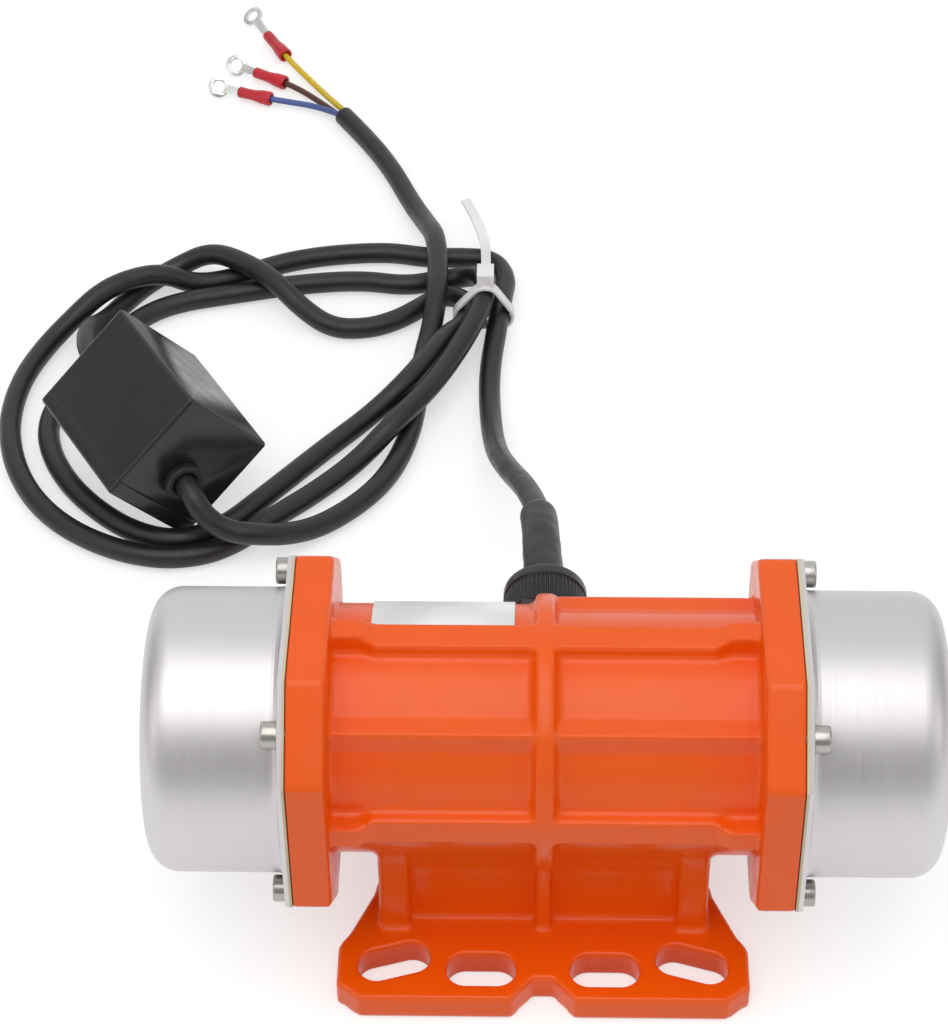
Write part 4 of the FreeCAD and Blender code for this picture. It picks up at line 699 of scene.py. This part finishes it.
class MOTOR_OT_plate(bpy.types.Operator):
    """Lay the bare rating plate with its rounded corners"""
    bl_idname = "motor.plate"
    bl_label = "Rating plate"

    def execute(self, context):
        look = context.scene.motor_look
        piece = copied("rating_plate", "bare_plate")
        bpy.ops.object.mode_set(mode="EDIT")
        bpy.ops.mesh.select_mode(type="EDGE")
        bpy.ops.mesh.select_all(action="DESELECT")
        bpy.ops.object.mode_set(mode="OBJECT")
        # The short edges through the sheet at its four corners
        along = [v.co.x for v in piece.data.vertices]
        round_axis = [math.atan2(v.co.z - SHAFT_HEIGHT, v.co.y) for v in piece.data.vertices]
        for edge in piece.data.edges:
            edge.select = all(
                abs(spots[edge.vertices[0]] - spots[edge.vertices[1]]) < near
                and min(abs(spots[edge.vertices[0]] - end) for end in (min(spots), max(spots))) < near
                for spots, near in ((along, 1e-5), (round_axis, 1e-3)))
        bpy.ops.object.mode_set(mode="EDIT")
        bpy.ops.mesh.bevel(offset=look.plate_corner, segments=6, affect="EDGES")
        bpy.ops.object.mode_set(mode="OBJECT")
        modified(piece, "BEVEL", width=0.00012, segments=2, limit_method="ANGLE",
                 angle_limit=math.radians(50))
        keep(smoothed(piece, 35), "bare_plate", HOUSING, "plate_silver", "rating_plate")
        return {"FINISHED"}


class MOTOR_OT_box(bpy.types.Operator):
    """Round the capacitor box, its lid, its grommets and the gland's body"""
    bl_idname = "motor.box"
    bl_label = "Capacitor box"

    def execute(self, context):
        for node, width, angle, slot in (("capacitor_case", 0.0005, 60, "case_black"),
                                         ("capacitor_lid", 0.0005, 60, "case_black"),
                                         ("lead_grommets", 0.0011, 60, "seal_rubber"),
                                         ("gland_body", 0.0005, 25, "gland_black")):
            name = node + "_moulded"
            keep(eased(node, name, width, 3, angle), name, HOUSING, slot, node)
        return {"FINISHED"}


class MOTOR_OT_tie(bpy.types.Operator):
    """Round the edges of the cable tie's strap, head and free tail"""
    bl_idname = "motor.tie"
    bl_label = "Cable tie"

    def execute(self, context):
        piece = eased("cable_tie", "nylon_tie", 0.0003, 2, 35)
        keep(piece, "nylon_tie", HOUSING, "tie_white", "cable_tie")
        return {"FINISHED"}


class MOTOR_OT_terminals(bpy.types.Operator):
    """Shape the flared crimp sleeves and round the edges of the ring terminals"""
    bl_idname = "motor.terminals"
    bl_label = "Ring terminals"

    def execute(self, context):
        for name, (back, front) in SLEEVES.items():
            back, front = (Vector(end) * MM for end in (back, front))
            heading = (front - back).normalized()
            long = (front - back).length
            # Outside from the flared mouth to the ring, then back along the bore
            steps = [(0.0004, 0.00195), (0, 0.0023), (0, 0.0028), (0.0004, 0.00308), (0.0012, 0.00312),
                     (long * 0.30, 0.00296), (long * 0.42, 0.00262), (long * 0.55, 0.00236),
                     (long * 0.72, 0.00238), (long - 0.0009, 0.00240), (long - 0.0003, 0.00232),
                     (long, 0.00212), (long, 0.00196), (long - 0.0005, 0.00188),
                     (long * 0.5, 0.00188), (0.0004, 0.00195)]
            piece = turned(name + "_crimp_sleeve", back, heading, steps, 36, hollow=True)
            self.crimp(piece, back, heading, long)
            keep(smoothed(piece, 50), name + "_crimp_sleeve", HOUSING, "terminal_red", name + "_sleeve")
            ring = eased(name + "_terminal", name + "_ring", 0.00018, 2, 35)
            keep(ring, name + "_ring", HOUSING, "terminal_tin", name + "_terminal")
        return {"FINISHED"}

    def crimp(self, piece, back, heading, long):
        """Press the sleeve a little flat where the tool closed on it."""
        side = heading.cross(Vector((0, 0, 1))).normalized()
        lift = side.cross(heading)
        for vertex in piece.data.vertices:
            away = vertex.co - back
            along = away.dot(heading) / long
            press = math.exp(-((along - 0.66) / 0.13) ** 2)
            vertex.co += press * (0.07 * away.dot(side) * side - 0.13 * away.dot(lift) * lift)


class MOTOR_OT_finishes(bpy.types.Operator):
    """Give every piece and every carried-over node its finish"""
    bl_idname = "motor.finishes"
    bl_label = "Finishes"

    def execute(self, context):
        look = context.scene.motor_look
        finishes = {
            "orange_casting": casting_paint(look),
            "cover_steel": drawn_sheet(look),
            "screw_steel": bare_metal("plated screw", (0.42, 0.41, 0.38), 0.27),
            "gasket_cream": moulded("cream gasket", (0.62, 0.55, 0.38), 0.6),
            "shield_iron": bare_metal("turned iron", (0.20, 0.20, 0.21), 0.45, stretch=(8, 1, 1)),
            "core_steel": bare_metal("stacked sheet", (0.25, 0.25, 0.27), 0.4, 700, (30, 1, 1), 0.3),
            "copper": bare_metal("enamelled copper", (0.75, 0.27, 0.10), 0.3, 500, (1, 6, 6), 0.4),
            "bearing_steel": bare_metal("bearing steel", (0.66, 0.66, 0.68), 0.12),
            "cage_brass": bare_metal("brass cage", (0.70, 0.48, 0.18), 0.3),
            "rotor_aluminium": bare_metal("cast aluminium", (0.72, 0.73, 0.74), 0.42),
            "shaft_steel": bare_metal("ground shaft", (0.55, 0.55, 0.56), 0.2, 900, (20, 1, 1)),
            "weight_iron": bare_metal("oiled iron", (0.13, 0.13, 0.135), 0.42),
            "plate_silver": bare_metal("bare plate", (0.80, 0.81, 0.81), 0.5, 700, (1, 20, 20), 0.04),
            "gland_black": moulded("gland plastic", (0.012, 0.012, 0.013), 0.34, 700, 0.08),
            "seal_rubber": moulded("seal rubber", (0.012, 0.012, 0.012), 0.5),
            "lead_rubber": moulded("sheath rubber", tuple(look.rubber), 0.37),
            "sleeve_shrink": moulded("shrink sleeve", (0.014, 0.014, 0.015), 0.38, 500, 0.06),
            "case_black": moulded("case plastic", (0.015, 0.015, 0.016), 0.24, 1400, 0.04, edge=0.0006),
            "capacitor_can": bare_metal("drawn can", (0.66, 0.67, 0.68), 0.3),
            "tie_white": moulded("white nylon", (0.90, 0.90, 0.89), 0.35),
            "earth_yellow": moulded("earth colour", (0.84, 0.50, 0.003), 0.35),
            "line_brown": moulded("line colour", (0.09, 0.03, 0.02), 0.35),
            "neutral_blue": moulded("neutral colour", (0.07, 0.11, 0.34), 0.35),
            "terminal_red": moulded("red sleeve", (0.56, 0.006, 0.018), 0.34, coat=0.1),
            "terminal_tin": bare_metal("tinned copper", (0.72, 0.72, 0.70), 0.25),
        }
        slots = {part["node"]: part["material_slot"] for part in frame["record"]["subparts"]}
        for name, node in frame["nodes"].items():
            self.dress(node, finishes[slots[name]])
            if not node.hide_render:
                smoothed(node, 32)
        for name, slot in DRESSED.items():
            self.dress(bpy.data.objects[name], finishes[slot])
        deselect()
        return {"FINISHED"}

    def dress(self, piece, finish):
        piece.data.materials.clear()
        piece.data.materials.append(finish)


class MOTOR_PT_panel(bpy.types.Panel):
    """Lists the steps that dress the motor"""
    bl_idname = "MOTOR_PT_panel"
    bl_label = "Vibration Motor"
    bl_space_type = "VIEW_3D"
    bl_region_type = "UI"
    bl_category = "Vibration Motor"

    def draw(self, context):
        for step in OPERATORS:
            self.layout.operator(step.bl_idname)


OPERATORS = (MOTOR_OT_stage, MOTOR_OT_leads, MOTOR_OT_casting, MOTOR_OT_screws, MOTOR_OT_gland,
             MOTOR_OT_plate, MOTOR_OT_box, MOTOR_OT_tie, MOTOR_OT_terminals, MOTOR_OT_finishes)
CLASSES = (MotorLook, MotorStage, *OPERATORS, MOTOR_PT_panel)


def register():
    for item in CLASSES:
        bpy.utils.register_class(item)
    bpy.types.Scene.motor_look = PointerProperty(type=MotorLook)
    bpy.types.Scene.motor_stage = PointerProperty(type=MotorStage)


def unregister():
    del bpy.types.Scene.motor_stage
    del bpy.types.Scene.motor_look
    for item in reversed(CLASSES):
        bpy.utils.unregister_class(item)


def main():
    register()
    bpy.ops.motor.stage()
    bpy.ops.motor.leads()
    bpy.ops.motor.casting()
    bpy.ops.motor.screws()
    bpy.ops.motor.gland()
    bpy.ops.motor.plate()
    bpy.ops.motor.box()
    bpy.ops.motor.tie()
    bpy.ops.motor.terminals()
    bpy.ops.motor.finishes()


if __name__ == "__main__":
    main()
